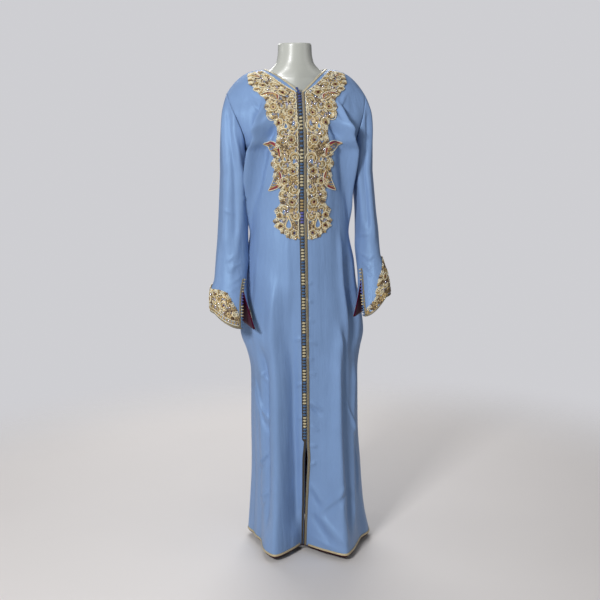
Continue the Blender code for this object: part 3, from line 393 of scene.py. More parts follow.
# --- sleeves --------------------------------------------------------------------------------------
# Rows are heights. along and across are half sizes, and along points at the slit, which turns from the body
# (0 degrees) towards the front (90). tilt: how much lower the ring is at the slit than at its centre. open:
# how far the slit's back edge stands open.
SleeveRow = namedtuple("SleeveRow", "row x y along across turn tilt open")
SLEEVES = {
    RIGHT: rows_of(
        SleeveRow,
        (0.778, -0.220, -0.083, 0.067, 0.053, 58, 0.043, 0.9),
        (0.822, -0.221, -0.069, 0.061, 0.050, 50, 0.022, 0.45),
        (0.872, -0.2125, -0.050, 0.050, 0.048, 38, 0.006, 0.0),
        (0.930, -0.205, -0.028, 0.050, 0.056, 22, 0.000, 0.0),
        (1.000, -0.200, -0.015, 0.048, 0.060, 10, 0.000, 0.0),
        (1.090, -0.1965, -0.006, 0.0450, 0.062, 4, 0.000, 0.0),
        (1.200, -0.1925, -0.002, 0.0425, 0.062, 0, 0.000, 0.0),
    ),
    LEFT: rows_of(
        SleeveRow,
        (0.816, 0.234, -0.092, 0.052, 0.045, 38, 0.058, 0.9),
        (0.857, 0.231, -0.076, 0.047, 0.043, 32, 0.038, 0.4),
        (0.905, 0.226, -0.053, 0.038, 0.046, 26, 0.014, 0.0),
        (0.945, 0.222, -0.032, 0.034, 0.055, 15, 0.003, 0.0),
        (1.000, 0.2215, -0.016, 0.034, 0.061, 8, 0.000, 0.0),
        (1.090, 0.2170, -0.006, 0.0315, 0.064, 2, 0.000, 0.0),
        (1.200, 0.2065, -0.002, 0.0335, 0.062, 0, 0.000, 0.0),
    ),
}
ARMHOLE_ROWS = (UNDERARM, 1.290, 1.318, 1.346, 1.372, 1.398, NECK_V, NECK_BACK, 1.460, SHOULDER)
CAP_ROW = 1.200  # the level ring under the cap
CAP_REACH = 0.40  # length of the cap's handles, as a share of its height
CAP_FLOW = 0.48  # how far the cap follows the body's cloth near the shoulder
CAP_START = 0.55  # its upper handle, as a share of the lower one
CAP_FLARE = {RIGHT: 0.02, LEFT: 0.11}  # how far the cap leaves the shoulder sideways
CAP_SIDES, CAP_AHEAD, CAP_DOWN = 0.3, -0.4, -0.85  # the way in which it leaves the armhole
UNDERARM_EASE = 0.0010  # how far the sleeve stands off the body's side at the underarm
FLAP = math.radians(70)  # how much of the ring the slit's back edge leaves open
FLAP_LOW, FLAP_EASE = 0.62, 0.16  # the share of the way round at which the hem comes down to the slit's level
SLEEVE_AROUND, SLEEVE_UP, CAP_UP = 72, 92, 26  # steps of a sleeve's net
SLIT_EDGE_STEPS = (0.0, 0.004, 0.008, 0.012, 0.017)  # finer steps beside the slit, as shares of the way round
# Angles run round from the slit's front edge. Tops and bottoms are shares of the sleeve's length.
SLEEVE_FOLDS = {
    RIGHT: rows_of(
        Fold,
        (1.04, 0.4, 112, 72, -0.009, -0.006, 15), (1.04, 0.34, 150, 110, 0.004, 0.004, 16),
        (0.96, 0.45, 78, 40, 0.005, 0.003, 12), (0.8, 0.2, 60, 62, 0.003, 0.003, 10),
        (0.95, 0.3, 225, 240, -0.005, -0.004, 18), (0.95, 0.3, 290, 285, 0.004, 0.004, 16),
        (0.97, 0.56, 0, 0, 0.003, 0.003, 30), (0.36, 0.24, 0, 0, 0.003, 0.003, 30),
    ),
    LEFT: rows_of(
        Fold,
        (1.04, 0.4, 100, 66, -0.009, -0.006, 14), (1.04, 0.34, 130, 96, 0.004, 0.004, 14),
        (0.9, 0.4, 60, 40, 0.004, 0.003, 12), (0.95, 0.3, 225, 240, -0.005, -0.004, 18),
        (0.95, 0.3, 290, 285, 0.004, 0.004, 16), (0.97, 0.62, 0, 0, 0.003, 0.003, 30),
        (0.40, 0.24, 0, 0, 0.004, 0.004, 30),
    ),
}
# Here a crease's heights are lengths from the hem.
SLEEVE_CREASES = {
    RIGHT: rows_of(
        Crease,
        (75, 0.165, 32, 0.186, 0.0032, 0.004), (78, 0.15, 40, 0.15, -0.0028, 0.005),
        (56, 0.122, 16, 0.146, 0.0036, 0.004), (60, 0.1, 14, 0.118, 0.0032, 0.004),
        (92, 0.186, 64, 0.212, 0.0028, 0.004), (130, 0.35, 80, 0.335, 0.0032, 0.004),
        (60, 0.385, 25, 0.378, 0.0036, 0.0040),
    ),
    LEFT: rows_of(
        Crease,
        (56, 0.128, 16, 0.15, 0.0036, 0.005), (60, 0.108, 18, 0.126, -0.0032, 0.005),
        (60, 0.16, 16, 0.176, 0.0028, 0.004), (82, 0.17, 40, 0.15, 0.0028, 0.004),
        (70, 0.236, 24, 0.232, 0.0028, 0.0040),
    ),
}
SLEEVE_SPAN = 0.0010  # metres to a degree round a sleeve
SLEEVE_FADE = 0.08  # a fold fades out over this share of the sleeve's length
SLEEVE_FLAT = 0.030  # the armhole's seam holds the cloth flat over this length


def sleeve_ring(side, row, around):
    """The sleeve's points at these rings, around from 0 at the slit's front edge to 1 at its back edge."""
    v = {name: smooth(SLEEVES[side], name, row) for name in SleeveRow._fields[1:]}
    turn, angle = np.radians(v["turn"]), around * 2 * math.pi
    ahead, aside = np.cos(angle), np.sin(angle)
    # Below the slit the back edge doesn't close the ring: it runs straight on and shows its inside.
    start, past = math.cos(FLAP), np.maximum(angle - 2 * math.pi + FLAP, 0)
    open_ahead, open_aside = start + past * math.sin(FLAP), -math.sin(FLAP) + past * start
    flap = np.where(past > 0, v["open"], 0)
    low = np.maximum(ahead, ease((around - FLAP_LOW) / FLAP_EASE)) * np.ones_like(v["open"])
    low = ahead + (low - ahead) * v["open"]
    ahead, aside = ahead + (open_ahead - ahead) * flap, aside + (open_aside - aside) * flap
    along, across = v["along"] * ahead, v["across"] * aside
    return np.stack(
        [
            v["x"] + side * (across * np.sin(turn) - along * np.cos(turn)),
            v["y"] - across * np.cos(turn) - along * np.sin(turn),
            row - v["tilt"] * low,
        ],
        axis=-1,
    )


def armhole(side, around):
    """Where the sleeve starts, from the underarm (0) up the front and down the back (1), and its way out."""
    step = (1 - np.abs(2 * around - 1)) * (len(ARMHOLE_ROWS) - 1)
    row = np.interp(step, range(len(ARMHOLE_ROWS)), ARMHOLE_ROWS)
    front = (around <= 0.5)[:, None]
    place, inner = (
        np.where(front, surface("front", side, share, row), surface("back", side, share, row))
        for share in (1.0, 0.998)
    )
    away = unit(place - inner)
    low = 0.5 + 0.5 * np.cos(2 * math.pi * around)
    place += away * (SEAM_GAP / 2 * (1 - low**8))[:, None]
    place[:, 0] += side * UNDERARM_EASE * low**2
    return place, away


@functools.lru_cache(maxsize=None)
def sleeve_net(side):
    """The net of a sleeve, from its hem up to the armhole. Heights are lengths from the hem."""
    fine = np.array(SLIT_EDGE_STEPS)
    around = np.concatenate([fine, np.linspace(fine[-1], 1 - fine[-1], SLEEVE_AROUND)[1:-1], 1 - fine[::-1]])
    hem = SLEEVES[side][0].row
    rows = hem + (CAP_ROW - hem) * np.linspace(0, 1, SLEEVE_UP + 1)
    tube = sleeve_ring(side, rows[None, :], around[:, None])
    place, away = armhole(side, around)
    first, last = place[:, None], tube[:, -1:]
    reach = np.linalg.norm(first - last, axis=-1, keepdims=True) * CAP_REACH
    angle = around * 2 * math.pi
    sideways = CAP_FLARE[side] * (1 - np.cos(angle)) + CAP_SIDES * np.abs(np.sin(angle))
    leave = np.stack([side * sideways, CAP_AHEAD * np.sin(angle), np.full_like(angle, CAP_DOWN)], axis=-1)
    high = (0.5 - 0.5 * np.cos(angle))[:, None] * CAP_FLOW
    leave = (unit(leave) * (1 - high) + away * high)[:, None]
    t = np.linspace(1, 0, CAP_UP + 1)[1:][None, :, None]
    cap = (
        first * (1 - t) ** 3
        + (first + unit(leave) * reach * CAP_START) * 3 * t * (1 - t) ** 2
        + (last + np.array([0, 0, 1]) * reach) * 3 * t * t * (1 - t)
        + last * t**3
    )
    points = np.concatenate([tube, cap], axis=1)
    heights = lengths_to(np.linalg.norm(np.diff(points, axis=1), axis=-1).mean(axis=0))
    net = Net(points, heights, side)
    share, from_seam = heights / heights[-1], heights[-1] - heights
    degrees = around[:, None] * 360 + 0 * share
    lift = fold_depth(degrees, share, SLEEVE_FOLDS[side], SLEEVE_FADE, 1)
    lift += crease_depth(degrees, heights + 0 * degrees, SLEEVE_CREASES[side], SLEEVE_SPAN)
    lift *= ease(from_seam / SLEEVE_FLAT)
    seam = SEAM_DIP * np.exp(-((from_seam / SEAM_WIDTH) ** 2))
    net.points = points + net.normals * (lift - seam)[..., None]
    return net


# --- building pieces ------------------------------------------------------------------------------
JOINED = 1e-5  # corners of a sheet that are this close are one


def new_object(name, data):
    made = bpy.data.objects.new(name, data)
    bpy.context.scene.collection.objects.link(made)
    return made


def add_piece(name, shape, finish, replaces=()):
    """The bmesh as a finished piece that rides with the form. Its place is in its mesh."""
    mesh = bpy.data.meshes.new(name)
    shape.to_mesh(mesh)
    shape.free()
    mesh.materials.append(finish)
    mesh.shade_smooth()
    made = new_object(name, mesh)
    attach(made, "root")
    if replaces:
        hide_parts(*replaces)
    return made


def add_sheet(shape, points, outwards):
    """Adds a grid laid through these places to the bmesh. Its UV map is in metres along the cloth."""
    across, up = points.shape[0] - 1, points.shape[1] - 1
    u = lengths_to(np.linalg.norm(np.diff(points, axis=0), axis=-1).mean(axis=1))
    v = lengths_to(np.linalg.norm(np.diff(points, axis=1), axis=-1).mean(axis=0))
    layer = shape.loops.layers.uv.get("cloth") or shape.loops.layers.uv.new("cloth")
    made = bmesh.ops.create_grid(shape, x_segments=across, y_segments=up, size=0.5)["verts"]
    place = {}
    for vert in made:
        place[vert] = (round((vert.co.x + 0.5) * across), round((vert.co.y + 0.5) * up))
        vert.co = points[place[vert]]
    faces = {face for vert in made for face in vert.link_faces}
    for face in faces:
        for loop in face.loops:
            i, j = place[loop.vert]
            loop[layer].uv = (u[i], v[j])
    if outwards < 0:
        bmesh.ops.reverse_faces(shape, faces=list(faces))
    return made


def thicken(piece, thickness):
    """Gives a sheet its thickness, inwards from the side that shows."""
    modifier = piece.modifiers.new("Thickness", "SOLIDIFY")
    modifier.thickness = thickness
    modifier.offset = -1
    return piece


def merge(shape, distance=JOINED):
    bmesh.ops.remove_doubles(shape, verts=shape.verts, dist=distance)


def add_sheets(name, sheets, finish, replaces, thickness, joined=0):
    """A piece of one or more sheets, each given as its places and the way it faces, joined this close."""
    shape = bmesh.new()
    for points, outwards in sheets:
        add_sheet(shape, points, outwards)
    if joined:
        merge(shape, joined)
    return thicken(add_piece(name, shape, finish, replaces), thickness)


# A cloth piece laid flat, and the share of that rectangle that it fills.
Cut = namedtuple("Cut", "width length filled")


# --- finishes -------------------------------------------------------------------------------------
COUCHED = 0.0066  # spacing of the ground's threads, several times as coarse as real so that they show
COUCHED_ROUND = 0.022  # size of the rounds in which they are laid
PULLS = (26.0, 26.0, 3.6)  # pulls in the cloth to a metre, across and up
BRUSH_MARKS = (40.0, 40.0, 1500.0)  # marks of the brush to a metre, across and up
FLOOR_RADIUS = 8.0
FLOOR_FADE = (1.2, 2.2)  # the floor fades out between these distances


def linear(hex_colour):
    """An sRGB hex colour as linear red, green and blue."""
    parts = [int(hex_colour[i : i + 2], 16) / 255 for i in (0, 2, 4)]
    return tuple(c / 12.92 if c <= 0.04045 else ((c + 0.055) / 1.055) ** 2.4 for c in parts)


def set_inputs(node, **inputs):
    """Sets inputs by name, with _ for a space, or by number: a value, or the socket that it comes from."""
    for name, value in inputs.items():
        socket = node.inputs[int(name[1:])] if name[1:].isdigit() else node.inputs[name.replace("_", " ")]
        if isinstance(value, bpy.types.NodeSocket):
            node.id_data.links.new(value, socket)
        else:
            socket.default_value = value


def add_node(tree, kind, settings=(), **inputs):
    """Adds a node with its settings, given as (name, value), and its inputs."""
    node = tree.nodes.new(kind)
    for name, value in settings:
        setattr(node, name, value)
    set_inputs(node, **inputs)
    return node


def new_material(name):
    """A material with its node tree, its shader and its texture coordinates."""
    made = bpy.data.materials.new(name)
    made.use_nodes = True
    tree = made.node_tree
    return made, tree, tree.nodes["Principled BSDF"], add_node(tree, "ShaderNodeTexCoord").outputs


def tone(colour, share):
    """The colour made lighter or darker, as linear RGBA."""
    return (*(min(c * share, 1.0) for c in colour), 1.0)


def two_tones(ramp, low, high, places=(0.0, 1.0)):
    """Sets the ramp's two colours and their places, and gives the colour that comes out."""
    for element, tint, place in zip(ramp.color_ramp.elements, (low, high), places):
        element.position, element.color = place, tint
    return ramp.outputs["Color"]


def mottled(tree, vector, colour, spread, scale, detail=4.0):
    """A colour that drifts a little lighter and darker over the surface."""
    noise = add_node(tree, "ShaderNodeTexNoise", Vector=vector, Scale=scale, Detail=detail)
    ramp = add_node(tree, "ShaderNodeValToRGB", Fac=noise.outputs["Fac"])
    return two_tones(ramp, tone(colour, 1 - spread), tone(colour, 1 + spread), (0.3, 0.7))


def satin_crepe(name, colour, spacing):
    """Polyester satin crepe, woven: a smooth face with soft, broad highlights in the cloth's own colour."""
    made, tree, shader, where = new_material(name)
    # The weave is finer than it shows, so its threads are drawn a few times as coarse.
    weft, warp = (
        add_node(
            tree, "ShaderNodeTexWave", [("bands_direction", way)], Vector=where["UV"],
            Scale=share * math.pi / (10 * spacing), Distortion=1.2, Detail=1.0,
        )
        for way, share in (("Y", 1.0), ("X", 1.6))
    )
    both = add_node(
        tree, "ShaderNodeMath", [("operation", "ADD")], _0=weft.outputs["Fac"], _1=warp.outputs["Fac"]
    )
    weave = add_node(tree, "ShaderNodeBump", Height=both.outputs[0], Strength=0.25, Distance=spacing / 4)
    # The cloth hangs in faint pulls, longer than they are wide.
    drawn = add_node(tree, "ShaderNodeMapping", Vector=where["Object"], Scale=PULLS)
    pulls = add_node(tree, "ShaderNodeTexNoise", Vector=drawn.outputs["Vector"], Scale=1.0, Detail=3.0)
    cloth = add_node(
        tree, "ShaderNodeBump", Height=pulls.outputs["Fac"], Strength=0.45, Distance=0.012,
        Normal=weave.outputs["Normal"],
    )
    set_inputs(
        shader, Base_Color=mottled(tree, where["Object"], colour, 0.05, 9.0), Roughness=0.42,
        Specular_IOR_Level=0.55, Specular_Tint=tone(colour, 2.3), Sheen_Weight=0.08, Sheen_Roughness=0.45,
        Sheen_Tint=tone(colour, 1.6), Normal=cloth.outputs["Normal"],
    )
    return made


def silk_braid(name, colour, dark, rib):
    """Braided silk and metal thread: a herringbone of ribs, with painted shade between them and a painted
    highlight on them.
    """
    made, tree, shader, where = new_material(name)
    wave = add_node(
        tree, "ShaderNodeTexWave", [("bands_direction", "DIAGONAL")], Vector=where["UV"],
        Scale=math.pi / (10 * rib), Distortion=1.5, Detail=1.0,
    )
    ramp = add_node(tree, "ShaderNodeValToRGB", Fac=wave.outputs["Fac"])
    bump = add_node(tree, "ShaderNodeBump", Height=wave.outputs["Fac"], Strength=0.6, Distance=rib / 4)
    # The ramp follows the bump's waves: its darker colour is painted shade in the troughs, and the colour
    # made a little lighter is a painted highlight on the ribs.
    set_inputs(
        shader, Base_Color=two_tones(ramp, tone(dark, 1.0), tone(colour, 1.1)), Roughness=0.45, Metallic=0.3,
        Normal=bump.outputs["Normal"],
    )
    return made


def thread(name, colour, roughness, metallic=0.0, strand=0.0009):
    """Twisted thread, of silk or wrapped in metal foil: strands that catch the light one by one."""
    made, tree, shader, where = new_material(name)
    wave = add_node(
        tree, "ShaderNodeTexWave", [("bands_direction", "DIAGONAL")], Vector=where["Object"],
        Scale=math.pi / (10 * strand), Distortion=2.0,
    )
    bump = add_node(tree, "ShaderNodeBump", Height=wave.outputs["Fac"], Strength=0.5, Distance=strand / 3)
    set_inputs(
        shader, Base_Color=mottled(tree, where["Object"], colour, 0.16, 260.0, 2.0), Roughness=roughness,
        Metallic=metallic, Sheen_Weight=0.2, Normal=bump.outputs["Normal"],
    )
    return made


def couched_thread(name, colour, dark):
    """Metal thread laid round and round and sewn down: dull gold, with painted shade in the grooves between
    the turns.
    """
    made, tree, shader, where = new_material(name)
    rounds = add_node(tree, "ShaderNodeTexVoronoi", Vector=where["UV"], Scale=1 / COUCHED_ROUND)
    turns = 2 * math.pi * COUCHED_ROUND / COUCHED
    far = rounds.outputs["Distance"]
    turned = add_node(tree, "ShaderNodeMath", [("operation", "MULTIPLY")], _0=far, _1=turns)
    wave = add_node(tree, "ShaderNodeMath", [("operation", "SINE")], _0=turned.outputs[0])
    high = add_node(tree, "ShaderNodeMapRange", Value=wave.outputs[0], From_Min=-1.0, From_Max=1.0)
    ramp = add_node(tree, "ShaderNodeValToRGB", Fac=high.outputs["Result"])
    bump = add_node(tree, "ShaderNodeBump", Height=high.outputs["Result"], Strength=0.7, Distance=COUCHED / 6)
    # The darker colour, the dark colour given made darker still, is painted shade in the grooves; the colour
    # made a little lighter is a painted highlight on the turns.
    set_inputs(
        shader, Base_Color=two_tones(ramp, tone(dark, 0.35), tone(colour, 1.1), (0.1, 0.6)), Roughness=0.5,
        Metallic=0.2, Normal=bump.outputs["Normal"],
    )
    return made


def cut_glass(name, colour):
    """Pressed glass, foiled behind: a deep colour under flat, sharply shining facets."""
    made, tree, shader, where = new_material(name)
    set_inputs(
        shader, Base_Color=mottled(tree, where["Object"], colour, 0.3, 400.0, 1.0), Roughness=0.08, IOR=1.52,
        Coat_Weight=0.6, Coat_Roughness=0.04,
    )
    return made


def sequin_film(name, colour):
    """Punched polyester film with a silvered back: each one a small mirror, tinted and a little different."""
    made, tree, shader, where = new_material(name)
    tint = mottled(tree, where["Object"], colour, 0.22, 180.0, 1.0)
    set_inputs(shader, Base_Color=tint, Metallic=0.8, Roughness=0.2)
    return made


def gloss_lacquer(name, colour):
    """Sprayed lacquer on a moulded shell: smooth and hard, with sharp reflections and a faint orange peel."""
    made, tree, shader, where = new_material(name)
    peel = add_node(tree, "ShaderNodeTexNoise", Vector=where["Object"], Scale=220.0, Detail=1.0)
    bump = add_node(tree, "ShaderNodeBump", Height=peel.outputs["Fac"], Strength=0.05, Distance=0.0005)
    set_inputs(
        shader, Base_Color=mottled(tree, where["Object"], colour, 0.015, 14.0), Roughness=0.32,
        Coat_Weight=0.25, Coat_Roughness=0.12, Normal=bump.outputs["Normal"],
    )
    return made


def studio_floor(colour):
    """A pale floor that fades into the surrounding light at a distance, like a paper sweep."""
    made, tree, shader, where = new_material("studio_floor")
    far = add_node(tree, "ShaderNodeVectorMath", [("operation", "LENGTH")], _0=where["Object"])
    fade = add_node(
        tree, "ShaderNodeMapRange", [("interpolation_type", "SMOOTHSTEP")], Value=far.outputs["Value"],
        From_Min=FLOOR_FADE[0], From_Max=FLOOR_FADE[1], To_Min=1.0, To_Max=0.0,
    )
    tint = mottled(tree, where["Object"], colour, 0.01, 2.0)
    set_inputs(shader, Base_Color=tint, Alpha=fade.outputs["Result"], Roughness=0.6)
    return made


def brushed_steel(name, colour):
    """Turned and brushed steel: grey, with fine rings that spread its highlights."""
    made, tree, shader, where = new_material(name)
    stretch = add_node(tree, "ShaderNodeMapping", Vector=where["Object"], Scale=BRUSH_MARKS)
    grain = add_node(tree, "ShaderNodeTexNoise", Vector=stretch.outputs["Vector"], Scale=1.0, Detail=3.0)
    rough = add_node(tree, "ShaderNodeMapRange", Value=grain.outputs["Fac"], To_Min=0.24, To_Max=0.42)
    set_inputs(shader, Base_Color=tone(colour, 1.0), Metallic=1.0, Roughness=rough.outputs["Result"])
    return made


# --- what a user can change -----------------------------------------------------------------------
def length_of(name, description, default):
    settings = {"default": default, "min": 0.0001, "precision": 4, "subtype": "DISTANCE", "unit": "LENGTH"}
    return FloatProperty(name=name, description=description, **settings)


def colour_of(name, what, hex_colour):
    settings = {"default": linear(hex_colour), "size": 3, "min": 0, "max": 1, "subtype": "COLOR"}
    return FloatVectorProperty(name=name, description="Colour of the " + what, **settings)


def power_of(name, where, default):
    settings = {"default": default, "min": 0, "unit": "POWER"}
    return FloatProperty(name=name + " Light", description="Power of the light " + where, **settings)


class KaftanCloth(bpy.types.PropertyGroup):
    thickness: length_of("Cloth Thickness", "Thickness of the satin crepe", 0.0015)
    lining_thickness: length_of("Lining Thickness", "Thickness of the lining", 0.0010)
    thread: length_of("Thread Spacing", "Distance between the threads that the weave shows", 0.0006)
    satin: colour_of("Satin", "satin crepe", "7C98C2")
    lining: colour_of("Lining", "lining", "400824")


class KaftanTrims(bpy.types.PropertyGroup):
    braid_width: length_of("Braid Width", "Width of the woven braid", 0.009)
    braid_thickness: length_of("Braid Thickness", "Thickness of the woven braid", 0.0012)
    rib: length_of("Rib Spacing", "Distance between the braid's ribs", 0.0016)
    piping_height: length_of("Piping Height", "Height of the piping along the hem", 0.007)
    knot_pitch: length_of("Knot Pitch", "Distance between the knotted buttons", 0.0093)
    braid: colour_of("Braid", "left front's braid", "A29679")
    # Dark braid and painted shade: the right front's braid under the knots, whose colour also stands for the
    # shade there, and the painted shade between the ribs of the other braids.
    braid_dark: colour_of("Dark Braid", "braid between its ribs, and under the knots", "4B4338")
    piping: colour_of("Piping", "hem's piping", "D8C8A0")
    cream: colour_of("Cream Knots", "cream knots", "BFB491")
    blue: colour_of("Blue Knots", "blue knots", "3F6188")
    violet: colour_of("Violet Knots", "violet knots", "5A5CA8")
    gold: colour_of("Gold Knots", "gold knots", "A88F5C")
    navy: colour_of("Navy Knots", "knots at the top", "2E3F78")
    neck: colour_of("Neck Braid", "braid round the neck", "CFC7AE")


class KaftanWork(bpy.types.PropertyGroup):
    gold: colour_of("Gold Cord", "gold cord", "C4A668")
    cream: colour_of("Cream Cord", "cream cord", "ECE3C4")
    bronze: colour_of("Bronze Cord", "bronze cord", "7E6440")
    ground: colour_of("Ground", "couched thread under the cords", "CBB893")
    satin: colour_of("Satin Stitch", "leaves' satin stitch", "8E2038")
    stone: colour_of("Stones", "faceted stones", "5A1424")
    bead: colour_of("Beads", "beads", "D8BE80")
    sequin: colour_of("Sequins", "sequins", "CFCDE4")


class KaftanForm(bpy.types.PropertyGroup):
    lacquer: colour_of("Lacquer", "dress form", "B9BBB4")
    steel: colour_of("Steel", "pole and foot", "A8A8A8")
    sides: IntProperty(
        name="Sides", description="Sides of the dress form's sections", default=96, min=24, max=256
    )


class KaftanStage(bpy.types.PropertyGroup):
    floor: colour_of("Floor", "studio floor", "D6D2D0")
    wall: colour_of("Wall", "light that surrounds the form", "D6D6DA")
    surround: FloatProperty(
        name="Surround", description="Strength of the surrounding light", default=0.24, min=0
    )
    wall_strength: FloatProperty(
        name="Wall Brightness", description="Brightness of the wall behind the form", default=0.92, min=0
    )
    key: power_of("Key", "in front of the form, at its right side", 81)
    side: power_of("Side", "beside the form, at its right side", 6)
    fill: power_of("Fill", "at the form's left side", 6)
    back: power_of("Back", "on the floor behind the form", 62)
    top: power_of("Top", "overhead", 8)


GROUPS = {
    "kaftan_cloth": KaftanCloth,
    "kaftan_trims": KaftanTrims,
    "kaftan_work": KaftanWork,
    "kaftan_form": KaftanForm,
    "kaftan_stage": KaftanStage,
}

# --- cloth ----------------------------------------------------------------------------------------
UNDER_CLOTH = 0.0015 + 3 * LAYER_GAP  # how far the lining lies inside the cloth's outer surface
SLIT_STEP = 23  # the sleeve's ring at which its slit ends
CUFF_LINING_RING = 31  # the sleeve's ring at which its lining ends
LINING_DROP = 0.005  # how far the skirt's lining hangs below the hem
EDGE_ROLL = 0.0018  # the cuff's lining is rolled over the cloth's edge at the back of the slit
ROLL_START = 0.02  # below the slit's top, the roll grows over this length
PANELS = {"right": [("front", RIGHT)], "left": [("front", LEFT)], "back": [("back", RIGHT), ("back", LEFT)]}
# Each sheet's cut, measured along the cloth with its folds laid flat.
SKIRT_FRONT_CUT = Cut(0.41, 0.44, 0.79)
SKIRT_BACK_CUT = Cut(0.66, 0.44, 0.84)
CUFF_CUT = Cut(0.41, 0.15, 0.77)


class KAFTAN_OT_fronts(bpy.types.Operator):
    """Lay the right and left front, cut from satin crepe"""

    bl_idname = "kaftan.fronts"
    bl_label = "Fronts"

    def execute(self, context):
        cloth = context.scene.kaftan_cloth
        finish = satin_crepe("satin_crepe_front", cloth.satin, cloth.thread)
        for side, name in SIDE_NAME.items():
            sheets = [(panel_net("front", side).points, side)]
            piece = add_sheets(
                "front_panel_" + name, sheets, finish, ["front_" + name], cloth.thickness
            )
        return {"FINISHED"}


class KAFTAN_OT_back(bpy.types.Operator):
    """Lay the back, cut in one piece"""

    bl_idname = "kaftan.back"
    bl_label = "Back"

    def execute(self, context):
        cloth = context.scene.kaftan_cloth
        finish = satin_crepe("satin_crepe_back", cloth.satin, cloth.thread)
        sheets = [(panel_net("back", side).points, facing("back", side)) for side in SIDE_NAME]
        thickness = cloth.thickness
        piece = add_sheets("back_panel", sheets, finish, ["back"], thickness, JOINED)
        return {"FINISHED"}


class KAFTAN_OT_sleeves(bpy.types.Operator):
    """Hang the two sleeves, with the slit on the side towards the body"""

    bl_idname = "kaftan.sleeves"
    bl_label = "Sleeves"

    def execute(self, context):
        cloth = context.scene.kaftan_cloth
        finish = satin_crepe("satin_crepe_sleeve", cloth.satin, cloth.thread)
        for side, name in SIDE_NAME.items():
            sheets = [(sleeve_net(side).points, side)]
            piece = add_sheets(
                "sleeve_panel_" + name, sheets, finish, ["sleeve_" + name],
                cloth.thickness, JOINED,
            )
        return {"FINISHED"}


class KAFTAN_OT_linings(bpy.types.Operator):
    """Hang the maroon lining that shows in the slit, at the hem and in the cuffs"""

    bl_idname = "kaftan.linings"
    bl_label = "Linings"

    def execute(self, context):
        cloth = context.scene.kaftan_cloth
        finish = satin_crepe("lining_satin", cloth.lining, cloth.thread)
        for panel, halves in PANELS.items():
            back = panel == "back"
            sheets = []
            for part, side in halves:
                net = panel_net(part, side)
                points = (net.points - net.normals * UNDER_CLOTH)[:, net.heights <= LINING_TOP]
                points[:, 0, 2] -= LINING_DROP
                sheets.append((points, facing(part, side)))
            name, cut = ("skirt_back", SKIRT_BACK_CUT) if back else ("skirt_front_" + panel, SKIRT_FRONT_CUT)
            self.line(name, sheets, finish, cut, "back_panel")
        for side, name in SIDE_NAME.items():
            net = sleeve_net(side)
            rings = np.arange(len(net.heights)) <= CUFF_LINING_RING
            under = (net.points - net.normals * UNDER_CLOTH)[:, rings]
            free = ease((net.heights[SLIT_STEP] - net.heights[rings]) / ROLL_START)[:, None]
            beyond = unit(net.points[-1] - net.points[-3])[rings] * EDGE_ROLL * free
            rolled = under[-1] + net.normals[-1, rings] * (UNDER_CLOTH + LAYER_GAP) * free
            sheet = np.concatenate([under, [under[-1] + beyond, rolled + beyond]])
            self.line("sleeve_" + name, [(sheet, side)], finish, CUFF_CUT, "sleeve_panel_" + name)
        return {"FINISHED"}

    def line(self, node, sheets, finish, cut, rests_on):
        thickness = bpy.context.scene.kaftan_cloth.lining_thickness
        name = "inner_" + node.replace("sleeve", "cuff")
        piece = add_sheets(name, sheets, finish, ["lining_" + node], thickness, JOINED)


# --- trims ----------------------------------------------------------------------------------------
ON_CLOTH = LAYER_GAP
BRAID_LIFT = ON_CLOTH + 0.0004
BRAID_CROWN = np.array((0.0, 0.8, 1.0, 0.72, 1.0, 0.8, 0.0))  # the braid's height across its width: two ribs
ACROSS_BRAID = np.linspace(0, 1, len(BRAID_CROWN))
FRONT_STEPS, NECK_STEPS = 560, 60  # steps along the braids of the front and the neck
WIDE_BRAID = 1.5  # the right front's braid is wider, under the knots
KNOT_ROWS = 112
FIRST_KNOT = SLIT_TOP + 0.004
KNOTS_PER_GROUP = 4
KNOT_REACH = 0.0055
KNOT_WIDTH, KNOT_HEIGHT, KNOT_RISE = 0.0120, 0.0064, 0.0026
KNOT_PLAIT = 0.10  # depth of the strands, as a share of the knot
STRANDS, STRAND_TURN = 3, 9  # strands of the plait, and how fast they wind along the knot
KNOT_SILKS = ("cream", "blue", "violet", "gold", "navy")
KNOT_COLOURS = {18: "violet", 19: "gold", 27: "navy"}
END_KNOTS = ((0.0076, 0.0022), (0.0156, 0.0055))  # the cord's end: how far above the last knot, and aside
END_WIDTH, END_HEIGHT = KNOT_WIDTH * 0.75, KNOT_HEIGHT * 1.5
BRAID_EDGE = 0.0004  # from the cloth's edge to the braid's
SLIT_BRAID = 0.55  # how much of its width the right front's braid keeps along the slit
RIM_FACING = 1  # the way round in which the neck's strip faces outwards
CUFF_RING = 8  # the ring at which the cuffs' girth is measured
CUFF_BRAID = 0.7  # width of the cuffs' braid, as a share of the front's
CUFF_STEPS, SLIT_STEPS = 150, 60  # steps of the braid round the cuff, and up its slit
CUFF_BRAID_REACH, CUFF_KNOT_REACH = 0.005, 0.001
CUFF_PITCH = 0.0075
CUFF_KNOT_WIDTH, CUFF_KNOT_HEIGHT = KNOT_WIDTH * 0.9, CUFF_PITCH * 0.62
CUFF_SILKS = ("cream", "violet", "blue")
CUFF_COLOURS = ("cream", "violet", "cream", "blue")  # down the slit, in equal lengths


def strip_along(net, reach, heights, width, lift, crown):
    """Places of a strip that runs up the net, with its near edge at this reach."""
    across = reach + ACROSS_BRAID[:, None] * width
    return net.at(across, heights[None, :], lift + BRAID_CROWN[:, None] * crown)


